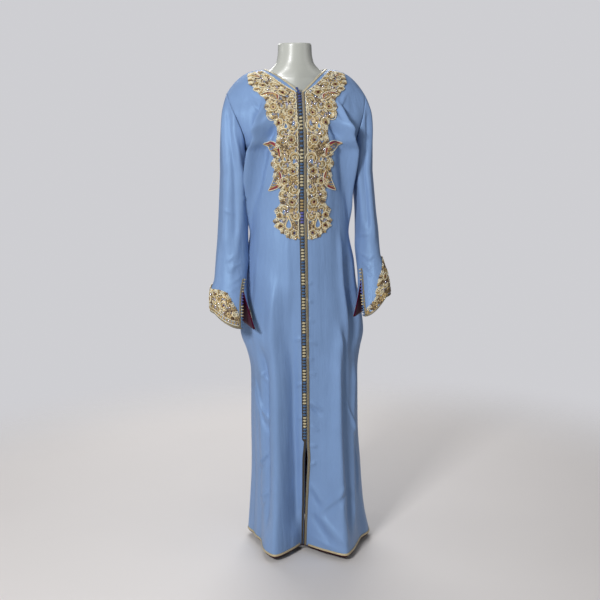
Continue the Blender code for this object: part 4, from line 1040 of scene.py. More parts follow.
class KAFTAN_OT_front_braids(bpy.types.Operator):
    """Sew the braids along the front edges, up the V of the neck and round its back"""

    bl_idname = "kaftan.front_braids"
    bl_label = "Front and Neck Braids"

    def execute(self, context):
        trims = context.scene.kaftan_trims
        bright = silk_braid("silk_braid_gold", trims.braid, trims.braid_dark, trims.rib)
        pale = silk_braid("silk_braid_pale", trims.neck, trims.braid, trims.rib)
        # The right front's braid under the knots is dark braid with painted shade in its colour; that colour
        # made darker again is painted shade between its ribs.
        dark = silk_braid("silk_braid_dark", trims.braid_dark, tone(trims.braid_dark, 0.5)[:3], trims.rib)
        width, crown, back = trims.braid_width, trims.braid_thickness, trims.braid_thickness / 2
        up_front = np.linspace(HEM, NECK_V, FRONT_STEPS)
        up_neck = np.linspace(NECK_V - 0.001, SHOULDER, NECK_STEPS)
        slit = 1 - (1 - SLIT_BRAID) * ease((SLIT_TOP + 0.004 - up_front) / 0.01)
        for side, finish, across in ((RIGHT, dark, width * WIDE_BRAID * slit), (LEFT, bright, width)):
            net, name = panel_net("front", side), SIDE_NAME[side]
            strip = strip_along(net, BRAID_EDGE, up_front, across, BRAID_LIFT, crown)
            node = "braid_front_" + name
            add_sheets("edge_braid_" + name, [(strip, side)], finish, [node], back)
            strip = strip_along(net, BRAID_EDGE, up_neck, width, BRAID_LIFT, crown)
            add_sheets("neck_edge_braid_" + name, [(strip, side)], pale, [], back)
        rim = neck_rim(width, crown)
        add_sheets("neck_braid", [(rim, RIM_FACING)], pale, ["braid_neck_back"], back)
        return {"FINISHED"}


def neck_rim(width, crown):
    """The strip round the back of the neck, square to its edge and laid on the cloth."""
    right, left = panel_net("back", RIGHT), panel_net("back", LEFT)
    rows = left.heights >= NECK_BACK - 1e-9
    rim = np.concatenate([right.points[0, rows][::-1], left.points[0, rows][1:]])
    out = np.concatenate([right.normals[0, rows][::-1], left.normals[0, rows][1:]])
    inside = unit(np.cross(np.gradient(rim, axis=0), out))
    inside *= np.where(inside[:, 2:] < 0, 1, -1)
    back = bpy.data.objects["back_panel"].data
    cloth = BVHTree.FromPolygons([v.co for v in back.vertices], [p.vertices for p in back.polygons])
    points = []
    for share, rise in zip(ACROSS_BRAID, BRAID_CROWN):
        line = []
        for place, way in zip(rim, inside):
            found, facing_out, _, _ = cloth.find_nearest(Vector(place + way * (BRAID_EDGE + share * width)))
            line.append(np.array(found + facing_out * (BRAID_LIFT + rise * crown)))
        points.append(line)
    return np.array(points)


def frame_from(across, up, off, here):
    """A matrix with these axes, at this place."""
    made = Matrix.Identity(4)
    for k, axis in enumerate((across, up, off, here)):
        made.col[k][:3] = axis
    return made


def frame_at(net, reach, height, lift):
    """A matrix at this place on the cloth, with X across it and Z off it."""
    here = net.at(reach, height, lift)
    across = unit(net.at(reach + 0.002, height, lift) - here)
    up = unit(net.at(reach, height + 0.002, lift) - here)
    off = unit(np.cross(across, up))
    if np.dot(off, net.at(reach, height, lift + 0.01) - here) < 0:
        off = -off
    return frame_from(across, np.cross(off, across), off, here)


def add_knot(shape, matrix, width, height, rise):
    """A knotted button: a ball drawn out sideways, with the strands of its plait round it."""
    for vert in bmesh.ops.create_uvsphere(shape, u_segments=10, v_segments=6, radius=1)["verts"]:
        x, y, z = vert.co
        strand = math.sin(STRANDS * math.atan2(z, y) + STRAND_TURN * x)
        plait = 1 + KNOT_PLAIT * strand * math.sqrt(max(1 - x * x, 0))
        vert.co = matrix @ Vector((x * width / 2, y * plait * height / 2, z * plait * rise))


class KAFTAN_OT_front_knots(bpy.types.Operator):
    """Tie the knotted buttons of the front, four to a colour"""

    bl_idname = "kaftan.front_knots"
    bl_label = "Front Knots"

    def execute(self, context):
        trims = context.scene.kaftan_trims
        silks = {name: thread("silk_" + name, getattr(trims, name), 0.5) for name in KNOT_SILKS}
        net = panel_net("front", RIGHT)
        groups = KNOT_ROWS // KNOTS_PER_GROUP
        for group in range(groups):
            shape = bmesh.new()
            for k in range(KNOTS_PER_GROUP):
                height = FIRST_KNOT + (group * KNOTS_PER_GROUP + k + 0.5) * trims.knot_pitch
                at = frame_at(net, KNOT_REACH, height, ON_CLOTH + trims.braid_thickness + KNOT_RISE * 0.6)
                add_knot(shape, at, KNOT_WIDTH, KNOT_HEIGHT, KNOT_RISE)
            if group == groups - 1:
                # The end of the knots' cord stands up above the V of the neck. Here Y points down.
                for up, aside in END_KNOTS:
                    place = at @ Matrix.Translation((aside, -up, -KNOT_RISE * 0.5))
                    add_knot(shape, place, END_WIDTH, END_HEIGHT, KNOT_RISE)
            colour = "cream" if group % 2 else "blue"
            number = f"{group + 1:02d}"
            silk = silks[KNOT_COLOURS.get(group, colour)]
            add_piece("knots_front_" + number, shape, silk, ["buttons_front_" + number])
        return {"FINISHED"}


class KAFTAN_OT_hem_piping(bpy.types.Operator):
    """Sew the cream and gold piping along the hem"""

    bl_idname = "kaftan.hem_piping"
    bl_label = "Hem Piping"

    def execute(self, context):
        trims = context.scene.kaftan_trims
        # Between the piping's ribs its own colour, made darker, is painted shade.
        finish = silk_braid("piping_silk", trims.piping, tone(trims.piping, 0.55)[:3], trims.rib)
        for name, halves in PANELS.items():
            sheets = []
            for part, side in halves:
                net = panel_net(part, side)
                reach = net.reach[:, 0] if part == "back" else net.reach[net.reach[:, 0] >= STRIP, 0]
                heights = HEM + ACROSS_BRAID * trims.piping_height
                rise = BRAID_LIFT + BRAID_CROWN * trims.braid_thickness
                sheets.append((net.at(reach[:, None], heights[None, :], rise[None, :]), facing(part, side)))
            back = trims.braid_thickness / 2
            add_sheets("hem_" + name, sheets, finish, ["piping_hem_" + name], back, 1e-4)
        return {"FINISHED"}


class KAFTAN_OT_cuff_trims(bpy.types.Operator):
    """Sew the braid round each cuff and the knots along its slit"""

    bl_idname = "kaftan.cuff_trims"
    bl_label = "Cuff Braids and Knots"

    def execute(self, context):
        trims = context.scene.kaftan_trims
        # Between the cuff braid's ribs the dark colour is painted shade.
        finish = silk_braid("silk_braid_cuff", trims.braid, trims.braid_dark, trims.rib)
        silks = {name: thread("cuff_silk_" + name, getattr(trims, name), 0.5) for name in CUFF_SILKS}
        for side, name in SIDE_NAME.items():
            net = sleeve_net(side)
            top = net.heights[SLIT_STEP]
            width = trims.braid_width * CUFF_BRAID
            crown, back = trims.braid_thickness, trims.braid_thickness / 2
            hem = net.at(
                np.linspace(0, 1, CUFF_STEPS)[:, None] * net.reach[-1, 0],
                ACROSS_BRAID[None, :] * width,
                BRAID_LIFT + BRAID_CROWN[None, :] * crown,
            )
            heights = np.linspace(width, top, SLIT_STEPS)
            slit = strip_along(net, CUFF_BRAID_REACH, heights, width, BRAID_LIFT, crown)
            sheets = [(hem, side), (slit, side)]
            add_sheets("cuff_braid_" + name, sheets, finish, ["braid_cuff_" + name], back)
            count = round((top - trims.knot_pitch) / CUFF_PITCH)
            shapes = {silk: bmesh.new() for silk in silks}
            for k in range(count):
                height = top - (k + 0.5) * (top / count)
                at = frame_at(net, CUFF_KNOT_REACH, height, ON_CLOTH + KNOT_RISE * 0.5)
                silk = CUFF_COLOURS[k * len(CUFF_COLOURS) // count]
                add_knot(shapes[silk], at, CUFF_KNOT_WIDTH, CUFF_KNOT_HEIGHT, KNOT_RISE)
            for silk, shape in shapes.items():
                replaces = ["buttons_cuff_" + name] if silk == "cream" else []
                add_piece(f"cuff_knots_{silk}_{name}", shape, silks[silk], replaces)
        return {"FINISHED"}


# --- embroidery -----------------------------------------------------------------------------------
# The work is laid out flat, across the cloth from its edge and up along it, in traditional rosettes, leaves
# and shells. The ground between them is filled with small coiled cords. Both halves are the same, mirrored.
WORK_FOOT = 0.998  # the row at which the yoke's work starts
WORK_MIDDLE = 0.060  # the reach along which its length is measured
WorkEdge = namedtuple("WorkEdge", "row reach")
YOKE_EDGE = rows_of(
    WorkEdge,
    (1, 0.02), (1.006, 0.034), (1.011, 0.052), (1.018, 0.05), (1.024, 0.071), (1.032, 0.068),
    (1.04, 0.088), (1.047, 0.083), (1.056, 0.092), (1.068, 0.078), (1.078, 0.082), (1.088, 0.087),
    (1.098, 0.076), (1.11, 0.066), (1.122, 0.07), (1.134, 0.074), (1.143, 0.064), (1.152, 0.066),
    (1.166, 0.076), (1.18, 0.084), (1.192, 0.09), (1.2, 0.088), (1.214, 0.083), (1.226, 0.097),
    (1.236, 0.093), (1.248, 0.084), (1.258, 0.094), (1.268, 0.09), (1.278, 0.08), (1.29, 0.078),
    (1.303, 0.076), (1.312, 0.074), (1.33, 0.077), (1.34, 0.086), (1.348, 0.084), (1.356, 0.094),
    (1.366, 0.107), (1.376, 0.103), (1.384, 0.111), (1.396, 0.108), (1.406, 0.102), (1.414, 0.108),
    (1.424, 0.11), (1.434, 0.106), (1.442, 0.098), (1.45, 0.1), (1.458, 0.086), (1.466, 0.074),
    (1.474, 0.062),
)
Rosette = namedtuple("Rosette", "across along radius petals")
YOKE_ROSETTES = rows_of(
    Rosette,
    (0.03, 0.02, 0.012, 6), (0.07, 0.04, 0.013, 6), (0.072, 0.072, 0.012, 6), (0.034, 0.112, 0.016, 7),
    (0.058, 0.176, 0.014, 6), (0.032, 0.206, 0.015, 6), (0.036, 0.296, 0.016, 7), (0.072, 0.352, 0.014, 6),
    (0.034, 0.376, 0.015, 6), (0.086, 0.404, 0.015, 7), (0.05, 0.446, 0.015, 6), (0.101, 0.48, 0.012, 6),
    (0.076, 0.492, 0.013, 6),
)
Leaf = namedtuple("Leaf", "across along length width lean bow")
YOKE_LEAVES = rows_of(
    Leaf,
    (0.073, 0.208, 0.07, 0.025, -60, -0.17), (0.07, 0.248, 0.08, 0.027, 36, 0.17),
    (0.07, 0.424, 0.052, 0.026, 34, 0.18), (0.058, 0.528, 0.036, 0.018, 60, 0.16),
)
Opening = namedtuple("Opening", "across along width height")  # the cloth shows in it
YOKE_OPENINGS = rows_of(
    Opening,
    (0.046, 0.051, 0.02, 0.036), (0.052, 0.34, 0.014, 0.02), (0.056, 0.244, 0.012, 0.018),
)
Shell = namedtuple("Shell", "across along radius turn")
YOKE_SHELLS = rows_of(
    Shell,
    (0.026, 0.072, 0.016, 200), (0.06, 0.092, 0.014, 40), (0.028, 0.15, 0.017, 160),
    (0.062, 0.136, 0.013, 80), (0.026, 0.246, 0.018, 20), (0.058, 0.226, 0.014, 110),
    (0.076, 0.236, 0.012, 90), (0.028, 0.334, 0.018, 180), (0.06, 0.318, 0.014, 60),
    (0.092, 0.378, 0.016, 100), (0.06, 0.4, 0.013, 200), (0.03, 0.414, 0.014, 330),
    (0.048, 0.482, 0.014, 0),
)
INNER_EDGE = {RIGHT: 0.0145, LEFT: 0.0105}  # where the braid beside the work ends
LEAF_BAND = 0.0080  # width of a leaf's satin stitch
SILK_SLANT = 3.0  # how the silks grow paler along the work, to a metre
NECK_MARGIN = 0.010  # how far the work stays off the braid round the neck
YOKE_SEED, CUFF_SEED = 7, 11
# The waved cord beside the front's edge: how far off it, how far it swings, and the length of a wave.
YOKE_BORDER_REACH, YOKE_BORDER_WAVE, YOKE_BORDER_STEP = 0.0022, 0.0012, 0.011
SILKS = ("gold", "cream", "bronze")
CORD_RADIUS = 0.0013
SCALLOP = 0.22  # how far a rosette's rings are drawn in between its petals
STONE_SHARE = 0.24  # a rosette's stone, as a share of its radius
ROSETTE_RINGS = ((0.92, "cream", 0.0012), (0.58, "gold", 0.0008))  # share of the radius, silk and rise
SHELL_ARCS = ((0.94, "cream"), (0.64, "gold"), (0.34, "cream"))  # share of the radius, and silk
SHELL_HALF_TURN = 118  # degrees from a shell's middle to its arcs' ends
OPENING_CORDS = ((1.0, "cream"), (1.22, "gold"))
COIL_TURNS = 1.5
COILS = ((7000, 0.0082), (7000, 0.0062), (9000, 0.0046))  # tries for each radius, the largest first
SMALL_TRIES = 9000  # tries for a stone, bead or sequin in the gaps
BEAD, SEQUIN = 0.0017, 0.0022  # radii
SMALL_LIFT = {"stone": 0.0026, "bead": 0.0018, "sequin": 0.0020}
PETAL, PETAL_STEP = 0.0092, 0.72  # length of the petals along the work's edge, and the share between two
PETAL_SILKS = ("gold", "cream", "cream", "bronze")
GROUND_STEP = 0.0028  # size of the ground's faces
BARE_PATCH = 0.62  # from 1, which leaves no bare patches in the ground, down to 0
GROUND_LIFT, GROUND_THICKNESS = ON_CLOTH + 0.0005, 0.0004
CORD_LIFT = ON_CLOTH + 0.0004 + CORD_RADIUS
SATIN_CROWN = (0.0010, 0.0016)  # height at the band's edges, and how much more at its middle
SATIN_THICKNESS = 0.0006
SEQUIN_THICKNESS, SEQUIN_TILT = 0.0003, 0.35
STONE_TOP = 0.55  # width of a stone's flat top, as a share of its foot


def frames_at(place, spots, lift, outwards):
    """Matrices at these spots of a flat layout: X across it, Z off the cloth."""
    if not spots:
        return []
    x, v = np.array([spot[:2] for spot in spots]).T
    here = place(x, v, lift)
    across, along = unit(place(x + 0.001, v, lift) - here), unit(place(x, v + 0.001, lift) - here)
    off = unit(np.cross(across, along)) * outwards
    return [frame_from(*axes) for axes in np.stack([across, np.cross(off, across), off, here], axis=1)]


def beside(across, along, size, turn):
    """Places of a flat layout this far from one of them, turned from straight up it."""
    return across + size * np.sin(turn), along + size * np.cos(turn)


class Work:
    """A stretch of embroidery, laid out flat: its outline gives how far across it reaches at each length."""

    def __init__(self, seed, lengths, outline, foot=None):
        self.random = random.Random(seed)
        self.lengths, self.outline = lengths, outline
        self.foot = np.zeros_like(lengths) if foot is None else foot  # where it starts across, at each length
        self.cords = {silk: [] for silk in SILKS}
        self.satin, self.stones, self.beads, self.sequins, self.taken, self.openings = [], [], [], [], [], []

    def inside(self, across, along, margin):
        if not self.lengths[0] + margin < along < self.lengths[-1] - margin:
            return False
        low, high = np.interp(along, self.lengths, self.foot), np.interp(along, self.lengths, self.outline)
        return low + margin < across < high - margin * 0.7

    def cord(self, silk, across, along, rise=0.0):
        self.cords[silk].append(np.stack([across, along, np.full_like(across, rise)], axis=-1))

    def clear(self, across, along, margin):
        return all((across - x) ** 2 + (along - v) ** 2 > (r + margin) ** 2 for x, v, r in self.taken)

    def silk_at(self, across, along):
        """The fill's colour: patches of one silk, with strays of the others."""
        patch = math.sin(across * 150 + 3 * math.sin(along * 37)) + math.sin(along * 83 + 1.3)
        patch += self.random.uniform(-1.2, 1.2) + (along - 0.28) * SILK_SLANT
        return "cream" if patch > 0.3 else "gold" if patch > -1.0 else "bronze"

    def rosette(self, across, along, radius, petals):
        """Scalloped rings of cord round a faceted stone."""
        self.taken.append((across, along, radius))
        turn = np.linspace(0, 2 * math.pi, 4 * petals + 1)
        for share, silk, rise in ROSETTE_RINGS:
            size = radius * share * (1 - SCALLOP + SCALLOP * np.abs(np.cos(petals * turn / 2)))
            self.cord(silk, *beside(across, along, size, turn), rise)
        self.stones.append((across, along, radius * STONE_SHARE))
        for k in range(petals):
            tip = beside(across, along, radius * ROSETTE_RINGS[0][0], 2 * math.pi * (k + 0.5) / petals)
            self.beads.append((*tip, BEAD))

    def shell(self, across, along, radius, turn):
        """Arcs of cord, one inside the other, like a scallop shell, with a bead at its middle."""
        self.taken.append((across, along, radius * 0.94))
        for k, (share, silk) in enumerate(SHELL_ARCS):
            way = np.radians(turn + np.linspace(-SHELL_HALF_TURN, SHELL_HALF_TURN, 11 - 2 * k))
            self.cord(silk, *beside(across, along, radius * share, way), 0.0010)
        self.beads.append((across, along, BEAD * 1.1))
        for share in (0.4, 0.75):
            self.sequins.append((*beside(across, along, radius * share, math.radians(turn + 180)), SEQUIN))

    def leaf(self, across, along, length, width, lean, bow):
        """A bent leaf: a satin-stitched band along its back, thread and sequins in its hollow side."""
        t = np.linspace(0, 1, 17)
        out, up = math.cos(math.radians(lean)), math.sin(math.radians(lean))
        side = math.copysign(1, bow)
        back = bow * length * np.sin(math.pi * t) + side * width * 0.5 * np.sin(math.pi * t**0.8) ** 0.8
        hollow = bow * length * np.sin(math.pi * t) * 0.55 - side * width * 0.35 * np.sin(math.pi * t**0.7)
        band = back - side * np.minimum(LEAF_BAND, 0.8 * np.abs(back - hollow))
        for s in (0.2, 0.5, 0.8):
            self.taken.append((across + out * length * s, along + up * length * s, width * 0.46))

        def place(off, share):
            return across + out * length * share - up * off, along + up * length * share + out * off

        self.cord("cream", *place(back + side * CORD_RADIUS * 1.6, t), 0.0014)
        self.cord("gold", *place(band, t), 0.0012)
        self.cord("cream", *place(hollow, t), 0.0010)
        self.satin.append((place(back, t), place(band, t)))
        for k in range(3, 15, 2):
            middle = (band[k] + hollow[k]) / 2
            self.sequins.append((*place(middle, t[k]), SEQUIN))
            barb = np.linspace(0.1, 0.95, 4)
            self.cord("gold", *place(band[k] + (hollow[k] - band[k]) * barb, t[k] + barb * 0.12), 0.0006)

    def opening(self, across, along, width, height):
        """A pointed gap in the work, where the cloth shows between two cords."""
        self.openings.append((across, along, width / 2, height / 2))
        self.taken += [(across, along + height * s, width * 0.42) for s in (-0.28, 0, 0.2)]
        turn = np.linspace(0, 2 * math.pi, 19)
        drop = np.sin(turn) * np.cos(turn / 2) ** 2 * 1.3
        for share, silk in OPENING_CORDS:
            x, v = across + width / 2 * share * drop, along - height / 2 * share * np.cos(turn)
            self.cord(silk, x, v, 0.0010)

    def edge(self):
        """Small petals all along the outline, each a loop of cord that points outwards and down."""
        run = lengths_to(np.hypot(np.diff(self.outline), np.diff(self.lengths)))
        t = np.linspace(0, 1, 8)
        for k in range(int(run[-1] / (PETAL * PETAL_STEP))):
            at = (k + 0.5) * PETAL * PETAL_STEP
            x, v = np.interp(at, run, self.outline), np.interp(at, run, self.lengths)
            ahead = np.interp(at + 0.004, run, self.outline) - np.interp(at - 0.004, run, self.outline)
            climb = np.interp(at + 0.004, run, self.lengths) - np.interp(at - 0.004, run, self.lengths)
            way = math.atan2(-ahead, climb) + self.random.uniform(-0.5, 0.2)
            size = PETAL * self.random.uniform(0.8, 1.6)
            along, off = size * (0.5 - 0.5 * np.cos(2 * math.pi * t)), PETAL * 0.28 * np.sin(2 * math.pi * t)
            along = along - size * 0.72
            x = x + along * math.cos(way) - off * math.sin(way)
            v = v + along * math.sin(way) + off * math.cos(way)
            self.cord(PETAL_SILKS[k % len(PETAL_SILKS)], x, v, 0.0010)

    def coil(self, across, along, radius):
        """A cord coiled flat, which fills a little of the ground."""
        self.taken.append((across, along, radius * 0.92))
        t = np.linspace(0.15, 1, 12)
        start, way = self.random.uniform(0, 2 * math.pi), self.random.choice((-1, 1))
        turn = start + way * 2 * math.pi * COIL_TURNS * t
        rise = self.random.uniform(0, 0.0008)
        silk = self.silk_at(across, along)
        self.cord(silk, *beside(across, along, radius * t, turn), rise)

    def spot(self):
        """A random place in the rectangle round the work."""
        low, high = min(self.foot), max(self.outline)
        return self.random.uniform(low, high), self.random.uniform(self.lengths[0], self.lengths[-1])

    def fill(self):
        """Coils over all the ground that is still free, and then stones, beads and sequins in the gaps."""
        for tries, radius in COILS:
            for _ in range(tries):
                x, v = self.spot()
                if self.inside(x, v, radius * 0.75) and self.clear(x, v, radius * 0.92):
                    self.coil(x, v, radius)
        for _ in range(SMALL_TRIES):
            x, v = self.spot()
            if self.inside(x, v, 0.002) and self.clear(x, v, BEAD * 0.8):
                self.taken.append((x, v, BEAD * 0.9))
                kinds, shares = (self.sequins, self.beads, self.stones), (3 + 9 * max(v, 0), 5, 1)
                self.random.choices(kinds, shares)[0].append((x, v, BEAD * 1.1))

    def sew(self, name, place, node, outwards, finishes):
        """Lays the work on the cloth, with the ground, each silk, the satin and each kind of small thing as a
        piece. place gives the places of points of the flat layout (across, along), lifted off the cloth."""
        self.sew_ground(name, place, node, outwards, finishes)
        for silk, cords in self.cords.items():
            flat = np.concatenate(cords)
            spots = place(flat[:, 0], flat[:, 1], CORD_LIFT + flat[:, 2])
            curve = bpy.data.curves.new(name + silk, "CURVE")
            curve.dimensions, curve.bevel_depth, curve.bevel_resolution = "3D", CORD_RADIUS, 0
            curve.use_fill_caps = True
            start = 0
            for cord in cords:
                spline = curve.splines.new("POLY")
                spline.points.add(len(cord) - 1)
                places = np.ones((len(cord), 4))
                places[:, :3] = spots[start : start + len(cord)]
                spline.points.foreach_set("co", places.ravel())
                start += len(cord)
            loose = bpy.data.objects.new(name + silk, curve)
            mesh = bpy.data.meshes.new_from_object(loose)
            bpy.data.objects.remove(loose)
            bpy.data.curves.remove(curve)
            shape = bmesh.new()
            shape.from_mesh(mesh)
            bpy.data.meshes.remove(mesh)
            add_piece(f"{name}_{silk}", shape, finishes[silk], ())
        self.sew_satin(name, place, outwards, finishes)
        self.sew_small(name, place, outwards, finishes)

    def sew_ground(self, name, place, node, outwards, finishes):
        """The couched threads under the cords, left out where the cloth shows between them."""
        steps = round((self.lengths[-1] - self.lengths[0]) / GROUND_STEP)
        v = np.linspace(self.lengths[0], self.lengths[-1], steps + 1)[None, :]
        low, high = np.interp(v, self.lengths, self.foot), np.interp(v, self.lengths, self.outline)
        share = np.linspace(0, 1, 1 + round((max(self.outline) - min(self.foot)) / GROUND_STEP))[:, None]
        x = low + (high - 0.003 - low) * share
        v = v + 0 * x
        points = place(x, v, GROUND_LIFT)
        shape = bmesh.new()
        verts = add_sheet(shape, points, outwards)
        spots = dict(zip(verts, zip(x.T.ravel(), v.T.ravel())))
        bare = [f for f in shape.faces if self.bare(*np.mean([spots[vert] for vert in f.verts], axis=0))]
        bmesh.ops.delete(shape, geom=bare, context="FACES")
        loose = [vert for vert in shape.verts if not vert.link_faces]
        bmesh.ops.delete(shape, geom=loose, context="VERTS")
        piece = add_piece(name + "_ground", shape, finishes["ground"], [node])
        thicken(piece, GROUND_THICKNESS)

    def bare(self, across, along):
        for x, v, half_width, half_height in self.openings:
            if ((across - x) / half_width) ** 2 + ((along - v) / half_height) ** 2 < 0.8:
                return True
        # Between the coils the cloth shows in small, uneven patches.
        patch = math.sin(across * 210 + 2 * math.sin(along * 60))
        return patch * math.sin(along * 118 + 2.2 * math.sin(across * 90)) > BARE_PATCH

    def sew_satin(self, name, place, outwards, finishes):
        shape = bmesh.new()
        for outer, middle in self.satin:
            share = np.linspace(0, 1, 6)[:, None]
            x = outer[0] * (1 - share) + middle[0] * share
            v = outer[1] * (1 - share) + middle[1] * share
            crown = SATIN_CROWN[0] + SATIN_CROWN[1] * np.sin(math.pi * share)
            add_sheet(shape, place(x, v, ON_CLOTH + crown + 0 * x), outwards)
        if self.satin:
            bmesh.ops.recalc_face_normals(shape, faces=shape.faces)
            piece = add_piece(name + "_satin", shape, finishes["satin"], ())
            thicken(piece, SATIN_THICKNESS)

    def sew_small(self, name, place, outwards, finishes):
        for kind, spots in (("stone", self.stones), ("bead", self.beads), ("sequin", self.sequins)):
            shape = bmesh.new()
            places = frames_at(place, spots, ON_CLOTH + SMALL_LIFT[kind], outwards)
            for size, at in zip((spot[-1] for spot in spots), places):
                if kind == "stone":
                    settings = {"radius1": size, "radius2": size * STONE_TOP, "depth": size, "matrix": at}
                    bmesh.ops.create_cone(shape, cap_ends=True, segments=8, **settings)
                elif kind == "bead":
                    bmesh.ops.create_icosphere(shape, subdivisions=1, radius=size, matrix=at)
                else:
                    at = at @ Matrix.Rotation(self.random.uniform(-SEQUIN_TILT, SEQUIN_TILT), 4, "X")
                    bmesh.ops.create_circle(shape, cap_ends=True, segments=8, radius=size * 1.2, matrix=at)
            piece = add_piece(f"{name}_{kind}s", shape, finishes[kind], ())
            if kind == "sequin":
                thicken(piece, SEQUIN_THICKNESS)
            elif kind == "stone":
                piece.data.shade_flat()


def work_finishes(name, work):
    return {
        "gold": thread(name + "_gold_cord", work.gold, 0.42, 0.35),
        "cream": thread(name + "_cream_cord", work.cream, 0.5, 0.1),
        "bronze": thread(name + "_bronze_cord", work.bronze, 0.48, 0.3),
        # The ground's grooves are painted shade, in the bronze cord's colour made darker.
        "ground": couched_thread(name + "_couched_thread", work.ground, work.bronze),
        "satin": thread(name + "_satin_stitch", work.satin, 0.4),
        "stone": cut_glass(name + "_cut_glass", work.stone),
        "bead": thread(name + "_gold_bead", work.bead, 0.25, 0.6),
        "sequin": sequin_film(name + "_sequin_film", work.sequin),
    }


class KAFTAN_OT_yoke_work(bpy.types.Operator):
    """Embroider the yoke: rosettes, leaves and shells, on a ground of coiled cords"""

    bl_idname = "kaftan.yoke_work"
    bl_label = "Yoke Embroidery"

    def execute(self, context):
        finishes = work_finishes("yoke", context.scene.kaftan_work)
        rows, edges = column(YOKE_EDGE, "row"), column(YOKE_EDGE, "reach")
        for side, name in SIDE_NAME.items():
            net = panel_net("front", side)
            rise_to = net.up_from(WORK_FOOT, WORK_MIDDLE)
            lengths = np.linspace(0, 0.60, 601)
            top = float(np.interp(YOKE_EDGE[-1].row, rise_to(lengths), lengths))
            lengths = lengths[lengths <= top]
            outline = np.interp(rise_to(lengths), rows, edges) - INNER_EDGE[RIGHT]
            foot = NECK_MARGIN * ease((rise_to(lengths) - NECK_V) / 0.02)
            work = Work(YOKE_SEED, lengths, outline, foot)
            for lay, table in (
                (work.opening, YOKE_OPENINGS), (work.rosette, YOKE_ROSETTES), (work.leaf, YOKE_LEAVES),
                (work.shell, YOKE_SHELLS),
            ):
                for across, *rest in table:
                    lay(across - INNER_EDGE[RIGHT], *rest)
            border = np.linspace(0.002, top - 0.004, 200)
            inside = np.interp(border, lengths, foot) + YOKE_BORDER_REACH
            wave = YOKE_BORDER_WAVE * np.cos(border * 2 * math.pi / YOKE_BORDER_STEP)
            work.cord("cream", inside + wave, border, 0.0006)
            work.edge()
            work.fill()

            def place(across, along, lift, net=net, rise_to=rise_to, inner=INNER_EDGE[side]):
                return net.at(across + inner, rise_to(along), lift)

            work.sew("yoke_work_" + name, place, "embroidery_yoke_" + name, side, finishes)
        return {"FINISHED"}


# The cuffs' work runs round them, from the slit's front edge (0) to its back edge (1). Reaches are heights
# above the hem, first at the foot of the work and then at its top.
CuffEdge = namedtuple("CuffEdge", "around foot reach")
CUFF_EDGES = {
    RIGHT: rows_of(
        CuffEdge,
        (0.03, 0.006, 0.03), (0.06, 0.019, 0.05), (0.11, 0.021, 0.072), (0.16, 0.021, 0.091),
        (0.24, 0.021, 0.092), (0.36, 0.021, 0.082), (0.46, 0.021, 0.088), (0.56, 0.021, 0.082),
        (0.68, 0.021, 0.092), (0.78, 0.021, 0.078), (0.88, 0.02, 0.05), (0.96, 0.006, 0.03),
    ),
    LEFT: rows_of(
        CuffEdge,
        (0.03, 0.006, 0.018), (0.08, 0.006, 0.026), (0.14, 0.006, 0.034), (0.185, 0.006, 0.05),
        (0.215, 0.006, 0.086), (0.27, 0.006, 0.104), (0.33, 0.006, 0.134), (0.42, 0.006, 0.146),
        (0.52, 0.006, 0.134), (0.64, 0.006, 0.104), (0.74, 0.006, 0.062), (0.86, 0.006, 0.034),
        (0.960, 0.006, 0.018),
    ),
}
CUFF_ROSETTES = rows_of(
    Rosette,
    (0.052, 0.062, 0.013, 6), (0.078, 0.1, 0.014, 6), (0.048, 0.128, 0.013, 7), (0.082, 0.16, 0.015, 7),
    (0.044, 0.196, 0.013, 6), (0.08, 0.23, 0.014, 6), (0.046, 0.266, 0.013, 7),
)
CUFF_SHELLS = rows_of(
    Shell,
    (0.05, 0.094, 0.013, 250), (0.072, 0.13, 0.012, 70), (0.05, 0.164, 0.013, 110),
    (0.086, 0.196, 0.013, 290), (0.046, 0.232, 0.013, 60),
)
CUFF_BORDER, CUFF_BORDER_STEP = 0.0135, 0.009  # height of the border's middle, and the length of its pattern
CUFF_BORDER_HALF, LOZENGE_HALF = 0.0058, 0.0036  # from its middle to its cords, and to a lozenge's top
LOZENGE_LENGTH = 0.38  # half of a lozenge's length, as a share of the pattern's


